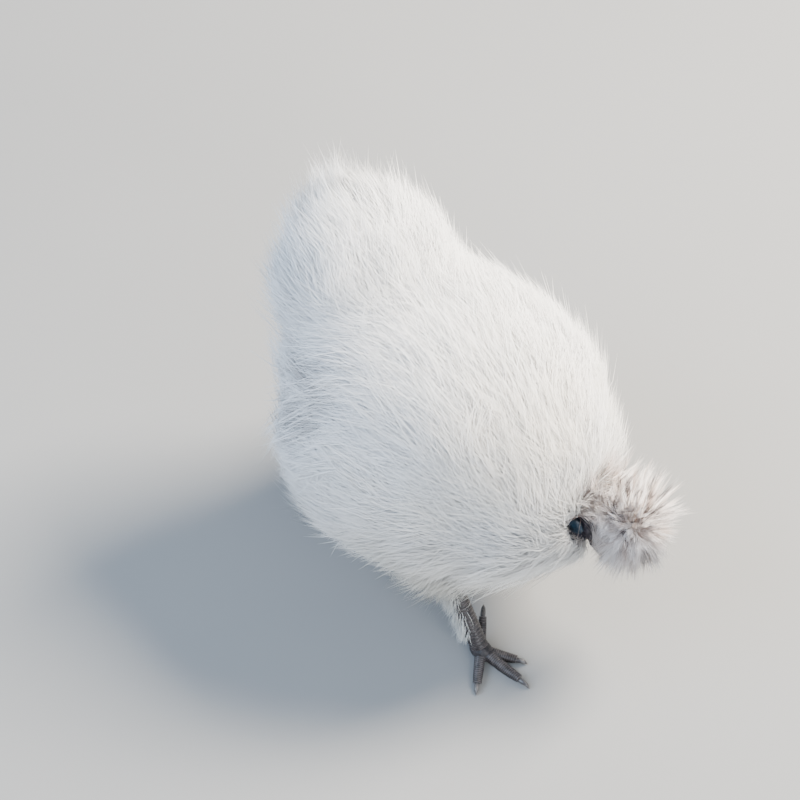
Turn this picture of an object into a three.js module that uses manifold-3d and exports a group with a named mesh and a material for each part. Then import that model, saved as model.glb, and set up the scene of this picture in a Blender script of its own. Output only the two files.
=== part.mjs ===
// A white silkie hen, life-size, walking with her head down to the grass.
// Millimetres. +X is where the body heads, +Y is the hen's left, +Z is up, and the soles stand on z = 0.
import * as THREE from "three";
import { mergeVertices } from "three/addons/utils/BufferGeometryUtils.js";
import Module from "manifold-3d";

const wasm = await Module();
wasm.setup();
const { Manifold, Mesh } = wasm;

const { clamp, degToRad, lerp, seededRandom, smoothstep } = THREE.MathUtils;
const vec = (x, y, z) => new THREE.Vector3(x, y, z);
const UP = vec(0, 0, 1);
const GAP = 0.3; // kept between neighbours that touch
const SIDES = { right: -1, left: 1 };

// Body plan: ends and middle points of the cores' spines
const BREAST = vec(110, -22, 80);
const SHOULDERS = vec(42, 0, 134);
const LOINS = vec(-30, 0, 151);
const RUMP = vec(-98, 0, 172);
const TAIL = { root: vec(-34, 0, 176), middle: vec(-78, 4, 209), tip: vec(-103, 12, 257) };
const NECK = { throat: vec(105, 34, 111), bend: vec(81, 23, 130), root: vec(34, 0, 152) };
const WING = { front: vec(80, 72, 120), elbow: vec(20, 88, 128), wrist: vec(-36, 86, 126), tip: vec(-66, 77, 131) };
const HIP_SPREAD = 44;

// Coats: how far the tips rise over the core, rows of locks from [first to last] angle along the form,
// the way between locks in a row, each lock's length, width and thickness, and how much its lie droops
const COATS = {
  torso: { rise: 15, rows: 8, from: [0.28, 2.8], apart: 31, long: 58, wide: 30, thick: 6, droop: 0.35, last: 2.95 },
  neck: { rise: 9, rows: 4, from: [0.62, 2.1], apart: 24, long: 42, wide: 23, thick: 4.5, droop: 0 },
  tail: { rise: 15, rows: 2, from: [1.05, 1.5], apart: 26, long: 42, wide: 24, thick: 5, droop: 0 },
  wing: { rise: 7, rows: 3, from: [0.55, 1.75], apart: 26, long: 46, wide: 25, thick: 3.5, droop: 0.12 },
  thigh: { rise: 11, rows: 3, from: [1.2, 2.4], apart: 24, long: 40, wide: 23, thick: 4.5, droop: 0 },
  crest: { rise: 19, rows: 5, from: [0.12, 2.05], apart: 14, long: 28, wide: 16, thick: 3, droop: 0, last: 3.1 },
};
const SINK = 4; // how deep a lock's root goes into its core
const BENT = [0.55, 0.9]; // shares of a lock's rise over the core at its two middle points
const OVERRUN = 12; // how far a lock runs on behind the end of its form
const FINE = 0.08; // smaller steps of a finished solid's surface are smoothed away
// How a blade's width runs from its root to its tip
const LOCK_TAPER = [
  [0, 0.65],
  [0.34, 1],
  [0.67, 0.78],
  [1, 0],
];
const VANE_TAPER = [
  [0, 0.4],
  [0.34, 0.85],
  [0.67, 1],
  [1, 0],
];
const VANE = { thick: 1.6, corners: 4, taper: VANE_TAPER };
// The wing's flight feathers fan out from the hand, from an upper to a lower angle
const FLIGHT = { count: 9, hand: vec(-18, 80, 124), long: 72, wide: 18, from: degToRad(152), to: degToRad(238) };
const RECTRICES = { count: 8, long: 42, wide: 22, tiers: [1.8, 2.15] }; // the tail's own feathers in two tiers
const LEG_TUFTS = { count: 5, long: 18, wide: 8, thick: 2.2, rise: 5 }; // down the outer side of each shank

// Head: its centre, its turn to the hen's left and its tilt, bill down
const HEAD_AT = vec(124, 24, 99);
const HEAD_YAW = degToRad(20);
const HEAD_DOWN = degToRad(68);
const CREST = { at: vec(2, 0, 27), core: 17.5 };
const EYE = { at: vec(7, 8.2, 2.5), radius: 5 };

// Legs: the ball of each foot, the hock, and the foot's turn to the hen's left
const STANCE = {
  right: { ball: vec(98, -56, 5.5), hock: vec(62, -53, 56), yaw: degToRad(4) },
  left: { ball: vec(-66, 35, 5.5), hock: vec(-46, 42, 64), yaw: degToRad(6) },
};
const SHANK_RADIUS = 5.8;
const PAD_RADIUS = 7;
const SCUTE_HIGH = 0.7;

// Toes: turn from straight ahead towards the hen's middle, length, radius, lift of the tip and claw length
const TOES = {
  middle: { turn: 0, long: 35, radius: 4.5, lift: 0, claw: 9 },
  inner: { turn: 26, long: 25, radius: 4.2, lift: 0, claw: 8 },
  outer: { turn: -54, long: 27, radius: 4.2, lift: 0, claw: 8 },
  hind: { turn: 160, long: 19, radius: 4.1, lift: 0, claw: 8 },
  fifth: { turn: 128, long: 21, radius: 3.6, lift: 14, claw: 9 },
};
const TOE_TIP = 0.72; // a toe's radius at its tip, as a share of that at its root
const FLAT = 0.9; // how far a toe's centre line lies nearer to the floor than its radius, so that it rests flat

// Reads a smooth value at s from a short list of [s, value] stations.
function along(stations, s) {
  if (typeof stations === "number") return stations;
  const next = stations.findIndex(([at]) => at >= s);
  if (next === 0) return stations[0][1];
  if (next < 0) return stations.at(-1)[1];
  const [s0, v0] = stations[next - 1];
  const [s1, v1] = stations[next];
  return lerp(v0, v1, (smoothstep(s, s0, s1) + (s - s0) / (s1 - s0)) / 2);
}

const curve = (...points) => new THREE.CatmullRomCurve3(points, false, "centripetal");
const mirror = (point, side) => vec(point.x, side * point.y, point.z);

// A geometry as a manifold solid with its faces pointing out
function solidOf(shape) {
  const bare = shape.clone();
  bare.deleteAttribute("normal");
  bare.deleteAttribute("uv");
  const merged = mergeVertices(bare, 1e-4);
  const triVerts = new Uint32Array(merged.index.array);
  const vertProperties = new Float32Array(merged.attributes.position.array);
  const made = new Manifold(new Mesh({ numProp: 3, vertProperties, triVerts }));
  if (made.volume() > 0) return made;
  for (let i = 0; i < triVerts.length; i += 3) {
    [triVerts[i + 1], triVerts[i + 2]] = [triVerts[i + 2], triVerts[i + 1]];
  }
  return new Manifold(new Mesh({ numProp: 3, vertProperties, triVerts }));
}

function shapeOf(solid) {
  const { vertProperties, triVerts } = solid.getMesh();
  return new THREE.BufferGeometry()
    .setAttribute("position", new THREE.BufferAttribute(new Float32Array(vertProperties), 3))
    .setIndex(new THREE.BufferAttribute(new Uint32Array(triVerts), 1));
}

// A closed skin on a sphere's grid: place(theta, phi, ring) gives each point, theta from one pole to the other.
function closedSkin(rings, sides, place) {
  const skin = new THREE.SphereGeometry(1, sides, rings);
  const { position, uv } = skin.attributes;
  for (let i = 0; i < position.count; i += 1) {
    const ring = Math.round((1 - uv.getY(i)) * rings);
    const pole = ring === 0 || ring === rings;
    const phi = pole ? 0 : 2 * Math.PI * (uv.getX(i) % 1);
    const { x, y, z } = place((Math.PI * ring) / rings, phi, ring);
    position.setXYZ(i, x, y, z);
  }
  return skin;
}

// A rounded form along a spine. Its sections are wide to both sides, tall above the spine and deep below it.
// A boxy value under 1 fills out the corners of their lower half.
class Form {
  constructor({ spine, wide, tall = wide, deep = tall, full = 0.75, boxy = 1, above = UP }) {
    Object.assign(this, { spine, wide, tall, deep, full, boxy, above });
  }

  point(theta, phi, grow = 0) {
    const s = (1 - Math.cos(theta)) / 2;
    const forward = this.spine.getTangent(s);
    const top = this.above.clone().addScaledVector(forward, -this.above.dot(forward)).normalize();
    const across = top.clone().cross(forward);
    const round = Math.abs(Math.sin(theta)) ** this.full;
    const lower = Math.sin(phi) < 0;
    const height = along(lower ? this.deep : this.tall, s);
    const swell = grow * Math.abs(Math.sin(theta));
    const fill = (c) => Math.sign(c) * Math.abs(c) ** (lower ? this.boxy : 1);
    return this.spine
      .getPoint(s)
      .addScaledVector(across, (along(this.wide, s) * round + swell) * fill(Math.cos(phi)))
      .addScaledVector(top, (height * round + swell) * fill(Math.sin(phi)))
      .addScaledVector(forward, -grow * Math.cos(theta));
  }

  skin(rings, sides, grow = 0) {
    return closedSkin(rings, sides, (theta, phi) => this.point(theta, phi, grow));
  }

  // The same skin with scutes across its upper side, each rising slowly and stepping down steeply
  scuted(count, sides, high, grow = 0) {
    const rings = 2 * count;
    const skin = closedSkin(rings, sides, (theta, phi, ring) => {
      const edge = ring % 2;
      const rise = edge * high * Math.max(0, Math.sin(phi));
      return this.point(theta + (edge * 0.6 * Math.PI) / rings, phi, grow + rise);
    });
    return solidOf(skin);
  }

  solid(rings, sides, grow) {
    return solidOf(this.skin(rings, sides, grow));
  }

  // A point of the skin with its outward normal and its two tangents per radian
  tangents(theta, phi) {
    const step = 0.02;
    const at = this.point(theta, phi);
    const back = this.point(theta + step, phi).sub(this.point(theta - step, phi)).divideScalar(2 * step);
    const round = this.point(theta, phi + step).sub(this.point(theta, phi - step)).divideScalar(2 * step);
    const normal = round.clone().cross(back).normalize();
    const s = (1 - Math.cos(theta)) / 2;
    if (normal.dot(at.clone().sub(this.spine.getPoint(s))) < 0) normal.negate();
    return { at, back, round, normal };
  }

  // Angles round the form at theta that lie evenly apart on its skin
  spread(theta, apart, shift) {
    const fine = 120;
    const ways = [0];
    for (let i = 1; i <= fine; i += 1) {
      const here = this.point(theta, (2 * Math.PI * i) / fine);
      ways.push(ways.at(-1) + here.distanceTo(this.point(theta, (2 * Math.PI * (i - 1)) / fine)));
    }
    const count = Math.max(3, Math.round(ways.at(-1) / apart));
    return Array.from({ length: count }, (_, i) => {
      const way = (((i + shift) % count) / count) * ways.at(-1);
      const next = Math.max(1, ways.findIndex((value) => value >= way));
      const part = (way - ways[next - 1]) / (ways[next] - ways[next - 1]);
      return (2 * Math.PI * (next - 1 + part)) / fine;
    });
  }
}

// A tapered blade along a path: three corners make a ridged lock, four a flat vane.
function blade({ path, across, wide, thick, corners = 3, steps = 3, grow = 0, taper = LOCK_TAPER }) {
  const cone = new THREE.ConeGeometry(1, 1, corners, steps, false, corners === 4 ? Math.PI / 4 : 0);
  const { position } = cone.attributes;
  for (let i = 0; i < position.count; i += 1) {
    const t = position.getY(i) + 0.5;
    const reach = 1 - t;
    const rim = reach > 1e-6 && Math.hypot(position.getX(i), position.getZ(i)) > reach / 2;
    const sin = rim ? position.getX(i) / reach : 0;
    const cos = rim ? position.getZ(i) / reach : 0;
    const forward = path.getTangent(t);
    const top = forward.clone().cross(across).normalize();
    const high = thick * lerp(1, 0.4, t * t);
    const flat = corners === 4;
    const out = flat ? Math.sign(sin) : sin / Math.sin(Math.PI / 3);
    const rise = flat ? Math.sign(cos) * (high / 2 + grow) : ((cos + 0.5) / 1.5) * (high + 2 * grow) - grow;
    const { x, y, z } = path
      .getPoint(t)
      .addScaledVector(across, rim ? out * ((wide / 2) * along(taper, t) + grow) : 0)
      .addScaledVector(top, rim ? rise : 0)
      .addScaledVector(forward, reach > 1e-6 ? 0 : grow);
    position.setXYZ(i, x, y, z);
  }
  return solidOf(cone);
}

// Finishes
const finish = (color, roughness) => new THREE.MeshStandardMaterial({ color, roughness, metalness: 0 });
const FINISH = {
  coat: finish(0xeceae6, 0.9),
  crest: finish(0xc9b8b0, 0.9),
  face: finish(0x23202a, 0.6),
  lobe: finish(0x2f7f93, 0.5),
  bill: finish(0x3b3f4a, 0.45),
  eye: finish(0x120c0a, 0.1),
  leg: finish(0x3a3336, 0.7),
  claw: finish(0x55525a, 0.5),
};

// Nodes: each solid and its finish by name
const nodes = new Map();
const add = (name, solid, material) => nodes.set(name, { solid, material });

// Seeded, so that each build draws the same values
const vary = (amount) => 1 + amount * (2 * seededRandom() - 1);

// Whether a piece keeps clear of every node but its own
function clear(own, piece) {
  const a = piece.boundingBox();
  for (const [name, { solid }] of nodes) {
    const b = solid.boundingBox();
    const apart = [0, 1, 2].some((k) => a.min[k] > b.max[k] || a.max[k] < b.min[k]);
    if (name !== own && !apart && piece.intersect(solid).volume() > 0) return false;
  }
  return true;
}

// Grows blades on a node's core. One that would cross a neighbour is made shorter, or else left out.
function growOn(name, blades) {
  const { solid, material } = nodes.get(name);
  const grown = [solid];
  for (const make of blades) {
    const share = [1, 0.8, 0.6].find((part) => clear(name, make(part, GAP)));
    if (share) grown.push(make(share, 0));
  }
  add(name, largest(Manifold.union(grown)), material);
}

// A blade that lies along a form's skin: sunk at its root, then bent over the coat and open at its tip.
// Past the form's last angle it runs on behind the form, drooping as the rest does.
function onSkin(form, theta, phi, { long, rise, droop = 0, last = 2.75, ...shape }) {
  const { back, round, normal } = form.tangents(theta, phi);
  const down = UP.clone().negate().addScaledVector(normal, normal.z);
  const lie = back.clone().normalize().addScaledVector(down, droop).normalize();
  const perTheta = lie.dot(back) / back.lengthSq();
  const perPhi = lie.dot(round) / round.lengthSq();
  const behind = form.spine.getTangent(1).addScaledVector(UP, -2 * droop).addScaledVector(normal, 0.5).normalize();
  return (share, grow) => {
    const points = [-SINK, BENT[0] * rise, BENT[1] * rise, rise].map((lift, i) => {
      const way = (long * share * i) / 3;
      const angle = theta + perTheta * way;
      const past = perTheta > 0 ? Math.max(0, angle - Math.max(theta, last)) : 0;
      return form
        .point(angle - past, phi + perPhi * way, lift)
        .addScaledVector(behind, past > 0 ? Math.min(past / perTheta, OVERRUN) : 0);
    });
    const chord = points[3].clone().sub(points[0]).normalize();
    const across = normal.clone().cross(chord).normalize();
    return blade({ path: curve(...points), across, grow, ...shape });
  };
}

// Staggered rows of locks over a whole form
function coatOf(form, { rise, rows, from, apart, long, wide, droop, ...shape }, seed) {
  seededRandom(seed);
  const locks = [];
  for (let row = 0; row < rows; row += 1) {
    const theta = lerp(from[0], from[1], row / (rows - 1));
    for (const phi of form.spread(theta, apart, (row % 2) / 2)) {
      locks.push(
        onSkin(form, theta + 0.04 * (vary(1) - 1), phi + 0.05 * (vary(1) - 1), {
          long: long * vary(0.14) * (1 - 0.45 * smoothstep(theta, 1.9, 2.9)),
          wide: wide * vary(0.1),
          rise: rise * vary(0.08),
          droop: droop * vary(0.4),
          ...shape,
        }),
      );
    }
  }
  return locks;
}

// Keeps the largest closed surface: fills sealed hollows and drops loose scraps.
function largest(solid) {
  return solid.simplify(FINE).decompose().sort((a, b) => b.volume() - a.volume())[0];
}

// Head, in its own frame: the bill along x, the hen's left along y and the crown along z
const headTurn = new THREE.Matrix4()
  .makeRotationZ(HEAD_YAW)
  .multiply(new THREE.Matrix4().makeRotationY(HEAD_DOWN))
  .setPosition(HEAD_AT);
const onHead = (skin) => solidOf(skin.applyMatrix4(headTurn));
const headPoint = (x, y, z) => vec(x, y, z).applyMatrix4(headTurn);

function ball(at, size, rings = 8, sides = 10) {
  return closedSkin(rings, sides, (theta, phi) =>
    vec(
      at.x + size.x * Math.sin(theta) * Math.cos(phi),
      at.y + size.y * Math.sin(theta) * Math.sin(phi),
      at.z + size.z * Math.cos(theta),
    ),
  );
}
const round = (radius) => vec(radius, radius, radius);

const skull = new Form({
  spine: curve(vec(-20, 0, -1), vec(0, 0, 0), vec(21, 0, -4)),
  wide: [
    [0, 12],
    [0.5, 12.5],
    [1, 8],
  ],
  tall: [
    [0, 12],
    [0.5, 13],
    [1, 7],
  ],
  deep: [
    [0, 11],
    [0.5, 11.5],
    [1, 7],
  ],
  full: 0.9,
});
const billUpper = new Form({
  spine: curve(vec(13, 0, -3), vec(25, 0, -3), vec(33, 0, -5), vec(37, 0, -10)),
  wide: [
    [0, 7],
    [0.5, 4.4],
    [1, 1.6],
  ],
  tall: [
    [0, 6],
    [0.5, 4.4],
    [1, 1.8],
  ],
  deep: [
    [0, 1.6],
    [1, 1.2],
  ],
  full: 0.6,
});
const billLower = new Form({
  spine: curve(vec(13, 0, -7), vec(24, 0, -7), vec(33, 0, -8)),
  wide: [
    [0, 6],
    [0.5, 3.9],
    [1, 1.4],
  ],
  tall: 3,
  deep: [
    [0, 3.4],
    [0.5, 2.6],
    [1, 1.2],
  ],
  full: 0.6,
});

const headGrown = onHead(skull.skin(10, 14, GAP));
const eyes = Object.entries(SIDES).map(([side, s]) => [`eye_${side}`, mirror(EYE.at, s)]);

function makeHead() {
  let head = onHead(skull.skin(10, 14));
  for (const [, at] of eyes) {
    const lids = new THREE.TorusGeometry(EYE.radius - 0.9, 1.4, 4, 10)
      .scale(1.12, 0.86, 1)
      .rotateX(Math.PI / 2)
      .translate(at.x, at.y + Math.sign(at.y) * 3.6, at.z);
    head = head.add(onHead(lids)).subtract(onHead(ball(at, round(EYE.radius + GAP), 7, 10)));
  }
  for (const s of Object.values(SIDES)) {
    const gape = new Form({
      spine: curve(vec(8, s * 11.4, -6.5), vec(13, s * 9.8, -5.2), vec(21, s * 5, -5)),
      wide: 1.6,
      tall: 0.5,
    });
    head = head.subtract(onHead(gape.skin(6, 5)));
  }
  add("head", largest(head), FINISH.face);
  for (const [name, at] of eyes) add(name, onHead(ball(at, round(EYE.radius), 7, 10)), FINISH.eye);
}

function makeBill() {
  const upper = onHead(billUpper.skin(9, 10));
  const nostrils = Object.values(SIDES).map((s) => onHead(ball(vec(22.5, s * 4.6, 0), vec(2, 1.3, 0.8), 4, 6)));
  add("beak_upper", largest(upper.subtract(headGrown).subtract(Manifold.union(nostrils))), FINISH.bill);
  const lower = onHead(billLower.skin(8, 8)).subtract(onHead(billUpper.skin(9, 10, GAP)));
  add("beak_lower", largest(lower.subtract(headGrown)), FINISH.bill);
}

// A walnut comb: a low cushion of small bulbs over the bill's root
function makeComb() {
  const bulbs = [
    [11, 0, 10.5, 5.5],
    [16, 0, 7.5, 4],
    [13.5, 4, 8.5, 3.6],
    [13.5, -4, 8.5, 3.6],
    [9, 5, 10.5, 3.4],
    [9, -5, 10.5, 3.4],
  ];
  const comb = bulbs.map(([x, y, z, radius]) => onHead(ball(vec(x, y, z), round(radius), 4, 7)));
  const bill = onHead(billUpper.skin(9, 10, GAP));
  add("comb", largest(Manifold.union(comb).subtract(headGrown).subtract(bill)), FINISH.face);
}

function makeLobesAndWattles() {
  for (const [side, s] of Object.entries(SIDES)) {
    const lobe = onHead(ball(vec(-7.5, s * 11.2, -7), vec(7.5, 3.4, 6.2), 6, 10));
    add(`ear_lobe_${side}`, largest(lobe.subtract(headGrown)), FINISH.lobe);
    const wattle = new Form({
      spine: curve(vec(10, s * 5, -8), vec(12.5, s * 6.4, -14), vec(13, s * 6.2, -20)),
      wide: [
        [0, 3],
        [0.7, 4.6],
        [1, 3.6],
      ],
      tall: 1.6,
      above: vec(0, s, 0),
    });
    add(`wattle_${side}`, largest(onHead(wattle.skin(6, 8)).subtract(headGrown)), FINISH.face);
  }
}

// Body cores
const torso = new Form({
  spine: curve(BREAST, SHOULDERS, LOINS, RUMP),
  wide: [
    [0, 86],
    [0.35, 88],
    [0.7, 85],
    [1, 78],
  ],
  tall: [
    [0, 60],
    [0.35, 68],
    [0.7, 68],
    [1, 54],
  ],
  deep: [
    [0, 76],
    [0.35, 77],
    [0.7, 76],
    [1, 62],
  ],
  full: 0.65,
  boxy: 0.72,
});
const tail = new Form({
  spine: curve(TAIL.root, TAIL.middle, TAIL.tip),
  wide: [
    [0, 56],
    [0.5, 52],
    [1, 28],
  ],
  tall: [
    [0, 44],
    [0.5, 42],
    [1, 22],
  ],
});
const neck = new Form({
  spine: curve(headPoint(-11, 0, 2), NECK.throat, NECK.bend, NECK.root),
  wide: [
    [0, 12],
    [0.33, 26],
    [0.67, 42],
    [1, 60],
  ],
  tall: [
    [0, 12],
    [0.33, 20],
    [0.67, 40],
    [1, 48],
  ],
  deep: [
    [0, 12],
    [0.33, 22],
    [0.67, 50],
    [1, 58],
  ],
  above: vec(1, 0, 1),
});
const crown = new Form({
  spine: curve(...[1, 0, -1].map((up) => headPoint(CREST.at.x, 0, CREST.at.z + up * CREST.core))),
  wide: CREST.core,
  full: 1,
  above: vec(0, 1, 0),
});
const wing = {};
const thigh = {};
for (const [side, s] of Object.entries(SIDES)) {
  wing[side] = new Form({
    spine: curve(...[WING.front, WING.elbow, WING.wrist, WING.tip].map((point) => mirror(point, s))),
    wide: [
      [0, 13],
      [0.5, 14],
      [1, 9],
    ],
    tall: [
      [0, 26],
      [0.4, 36],
      [0.8, 30],
      [1, 18],
    ],
    deep: [
      [0, 34],
      [0.4, 58],
      [0.8, 46],
      [1, 22],
    ],
  });
  const { hock } = STANCE[side];
  thigh[side] = new Form({
    spine: curve(vec(hock.x * 0.4, s * (HIP_SPREAD - 4), 124), vec(hock.x * 0.75, s * (HIP_SPREAD + 9), 92), hock),
    wide: [
      [0, 38],
      [0.5, 39],
      [1, 15],
    ],
    tall: [
      [0, 42],
      [0.5, 40],
      [1, 15],
    ],
    deep: [
      [0, 62],
      [0.5, 70],
      [1, 18],
    ],
    above: vec(1, 0, 0),
  });
}

// Cores, each cut to meet those before it face to face
const cores = {
  torso: (grow) => torso.solid(14, 20, grow),
  tail: (grow) => tail.solid(9, 14, grow),
  neck: (grow) => neck.solid(9, 14, grow),
};
for (const side of Object.keys(SIDES)) {
  cores[`wing_${side}`] = (grow) => wing[side].solid(9, 10, grow);
  cores[`thigh_${side}`] = (grow) => thigh[side].solid(8, 12, grow);
}

function makeCores() {
  const face = Manifold.union([
    headGrown,
    onHead(ball(vec(11, 0, 9), vec(11, 11, 8), 6, 10)),
    onHead(ball(vec(15, 0, -10), vec(17, 14, 19), 6, 10)),
    ...Object.values(SIDES).map((s) => onHead(ball(vec(-7.5, s * 11.2, -7), vec(8.6, 4.6, 7.3), 6, 10))),
    ...eyes.map(([, at]) => onHead(ball(vec(at.x, at.y * 1.25, at.z), vec(7.8, 7.2, 7), 8, 12))),
  ]);
  const names = Object.keys(cores);
  names.forEach((name, i) => {
    let solid = cores[name](0).subtract(face);
    for (const earlier of names.slice(0, i)) solid = solid.subtract(cores[earlier](GAP));
    add(name, largest(solid), FINISH.coat);
  });
  add("crest", largest(crown.solid(8, 12).subtract(face).subtract(cores.neck(GAP))), FINISH.crest);
}

// Flight feathers: vanes that fan out from the hand under the coverts and end in a ragged edge
function flightOf(side) {
  const s = SIDES[side];
  return Array.from({ length: FLIGHT.count }, (_, i) => {
    const angle = lerp(FLIGHT.from, FLIGHT.to, i / (FLIGHT.count - 1));
    const ahead = vec(Math.cos(angle), 0, Math.sin(angle));
    const long = FLIGHT.long * vary(0.08);
    const layer = 1.2 * (i % 2);
    return (share, grow) => {
      const points = [
        [0.3, 0],
        [0.55, 11 + layer],
        [0.8, 9 + layer],
        [1, 4 + layer],
      ].map(([t, out]) =>
        mirror(FLIGHT.hand, s).addScaledVector(ahead, lerp(0.3, t, share) * long).add(vec(0, s * out, 0)),
      );
      const across = vec(0, s, 0).cross(ahead);
      return blade({ path: curve(...points), across, grow, ...VANE, wide: FLIGHT.wide });
    };
  });
}

// The tail's own feathers: tiers of vanes all round its end
function rectrices() {
  return RECTRICES.tiers.flatMap((theta, tier) =>
    Array.from({ length: RECTRICES.count }, (_, i) =>
      onSkin(tail, theta, (2 * Math.PI * (i + tier / 2)) / RECTRICES.count, {
        long: RECTRICES.long * vary(0.16),
        rise: 15 - 4 * tier,
        last: 2.6,
        ...VANE,
        wide: RECTRICES.wide,
      }),
    ),
  );
}

function growCoats() {
  growOn("crest", coatOf(crown, COATS.crest, 3));
  growOn("neck", coatOf(neck, COATS.neck, 11));
  for (const side of Object.keys(SIDES)) {
    seededRandom(side.length);
    growOn(`wing_${side}`, [...flightOf(side), ...coatOf(wing[side], COATS.wing, 17)]);
  }
  growOn("tail", [...rectrices(), ...coatOf(tail, COATS.tail, 13)]);
  for (const side of Object.keys(SIDES)) growOn(`thigh_${side}`, coatOf(thigh[side], COATS.thigh, 19));
  growOn("torso", coatOf(torso, COATS.torso, 23));
}

// Legs
function makeLeg(side) {
  const s = SIDES[side];
  const { ball: pad, hock, yaw } = STANCE[side];
  const shank = new Form({
    spine: curve(hock, pad),
    wide: SHANK_RADIUS,
    full: 0.3,
    above: vec(1, 0, 0),
  });
  const floor = new THREE.BoxGeometry(400, 400, 40).translate(0, 0, -20);
  const toes = [solidOf(ball(pad, vec(PAD_RADIUS + 2, PAD_RADIUS, 6), 8, 10))];
  const grown = [];
  for (const [name, toe] of Object.entries(TOES)) {
    const angle = yaw + degToRad(toe.turn) * -s;
    const ahead = vec(Math.cos(angle), Math.sin(angle), 0);
    const root = pad.clone().setZ(toe.radius + (toe.lift > 0 ? 3.5 : 0.5));
    const tip = pad.clone().addScaledVector(ahead, toe.long).setZ(toe.radius * TOE_TIP - FLAT + toe.lift);
    const middle = root.clone().lerp(tip, 0.5).setZ(toe.radius * 0.9 - FLAT + toe.lift * 0.3);
    const wide = [
      [0, toe.radius],
      [1, toe.radius * TOE_TIP],
    ];
    const form = new Form({ spine: curve(root, middle, tip), wide, full: 0.35 });
    toes.push(form.scuted(5, 6, SCUTE_HIGH));
    const reach = ahead.clone().multiplyScalar(toe.claw);
    const sharp = tip.clone().add(reach).setZ(Math.max(1, tip.z - 2.5 + toe.lift * 0.2));
    const claw = new Form({
      spine: curve(tip.clone().addScaledVector(ahead, -3), tip.clone().addScaledVector(reach, 0.5), sharp),
      wide: [
        [0, 2.3],
        [0.6, 1.7],
        [1, 0.6],
      ],
      full: 0.6,
    });
    grown.push([`claw_${side}_${name}`, claw.solid(4, 6), form.scuted(5, 6, SCUTE_HIGH, GAP)]);
  }
  const foot = Manifold.union(toes).subtract(solidOf(floor)).subtract(shank.scuted(9, 8, SCUTE_HIGH, GAP));
  add(`foot_${side}`, largest(foot), FINISH.leg);
  for (const [name, claw, toe] of grown) add(name, largest(claw.subtract(toe).subtract(solidOf(floor))), FINISH.claw);
  const skin = shank.scuted(9, 8, SCUTE_HIGH).subtract(cores[`thigh_${side}`](GAP));
  add(`shank_${side}`, largest(skin), FINISH.leg);
  const { count, ...tuft } = LEG_TUFTS;
  const outer = side === "right" ? Math.PI : 0;
  const tufts = Array.from({ length: count }, (_, i) =>
    onSkin(shank, lerp(1.2, 2.3, i / (count - 1)), outer + 0.5 * (i % 2 ? 1 : -1), { ...tuft, last: 3 }),
  );
  growOn(`shank_${side}`, tufts);
}

makeHead();
makeBill();
makeComb();
makeLobesAndWattles();
makeCores();
Object.keys(SIDES).forEach(makeLeg);
growCoats();

// Moves the whole so that its origin is the middle of its box, on the floor.
const hen = new THREE.Group();
for (const [name, { solid, material }] of nodes) {
  const mesh = new THREE.Mesh(shapeOf(solid), material);
  mesh.name = name;
  hen.add(mesh);
}
const box = new THREE.Box3().setFromObject(hen);
const middle = box.getCenter(vec(0, 0, 0));
hen.position.set(-middle.x, -middle.y, -box.min.z);

export default hen;
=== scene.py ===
import math

import bpy
import numpy as np
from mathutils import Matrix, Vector, kdtree, noise


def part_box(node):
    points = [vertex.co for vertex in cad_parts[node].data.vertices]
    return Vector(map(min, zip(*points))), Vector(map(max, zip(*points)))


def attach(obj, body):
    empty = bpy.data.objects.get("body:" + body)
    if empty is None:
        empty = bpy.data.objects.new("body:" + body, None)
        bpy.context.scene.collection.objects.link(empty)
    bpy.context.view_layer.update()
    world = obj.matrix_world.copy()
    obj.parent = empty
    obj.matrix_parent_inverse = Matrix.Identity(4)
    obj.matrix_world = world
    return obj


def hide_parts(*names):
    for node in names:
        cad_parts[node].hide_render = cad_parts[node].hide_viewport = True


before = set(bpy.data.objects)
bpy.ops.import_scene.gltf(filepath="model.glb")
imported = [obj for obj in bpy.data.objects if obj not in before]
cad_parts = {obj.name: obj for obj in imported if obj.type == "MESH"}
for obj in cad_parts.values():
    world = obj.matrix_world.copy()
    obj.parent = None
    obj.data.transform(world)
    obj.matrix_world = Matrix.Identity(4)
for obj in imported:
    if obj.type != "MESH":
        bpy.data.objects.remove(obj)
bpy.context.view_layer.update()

MM = 0.001
UP = np.array([0.0, 0.0, 1.0])
SIDES = {"right": -1, "left": 1}

# Body plan: ends and middle points of the forms' spines, as in the part's source but for the tail, which is
# a little shorter under its coat
BREAST = (110, -22, 80)
SHOULDERS = (42, 0, 134)
LOINS = (-30, 0, 151)
RUMP = (-98, 0, 172)
TAIL = [(-34, 0, 176), (-77, 4, 207), (-100, 8, 250)]
NECK = [(105, 34, 111), (81, 23, 130), (34, 0, 152)]
WING = [(80, 72, 120), (20, 88, 128), (-36, 86, 126), (-66, 77, 131)]
HIP_SPREAD = 44
HEAD_AT = (124, 24, 99)
HEAD_YAW = math.radians(20)
HEAD_DOWN = math.radians(68)
CREST_AT = (2, 0, 27)
CREST_CORE = 15.5
CREST_LEAN = np.array([-0.35, -0.3, 0.89])  # the crest's feathers part round this axis
EYE_AT = (7, 8.2, 2.5)
EYE_RADIUS = 5
HOCKS = {"right": (62, -53, 56), "left": (-46, 42, 64)}
BALLS = {"right": (98, -56, 5.5), "left": (-66, 35, 5.5)}
FOOT_YAW = {"right": math.radians(4), "left": math.radians(6)}
SHANK_RADIUS = 5.8
TOE_TIP = 0.72  # a toe's radius at its tip, as a share of that at its root
PAD = (9, 7, 6)  # half the length, width and height of the ball of the foot
FLAT = 0.9  # how far a toe's line lies nearer to the floor than its radius
TOE_LOW = 0.5  # a toe's root lies this much higher than its radius
TOE_LIFTED = 3.5  # the same where the toe's tip is lifted
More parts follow.
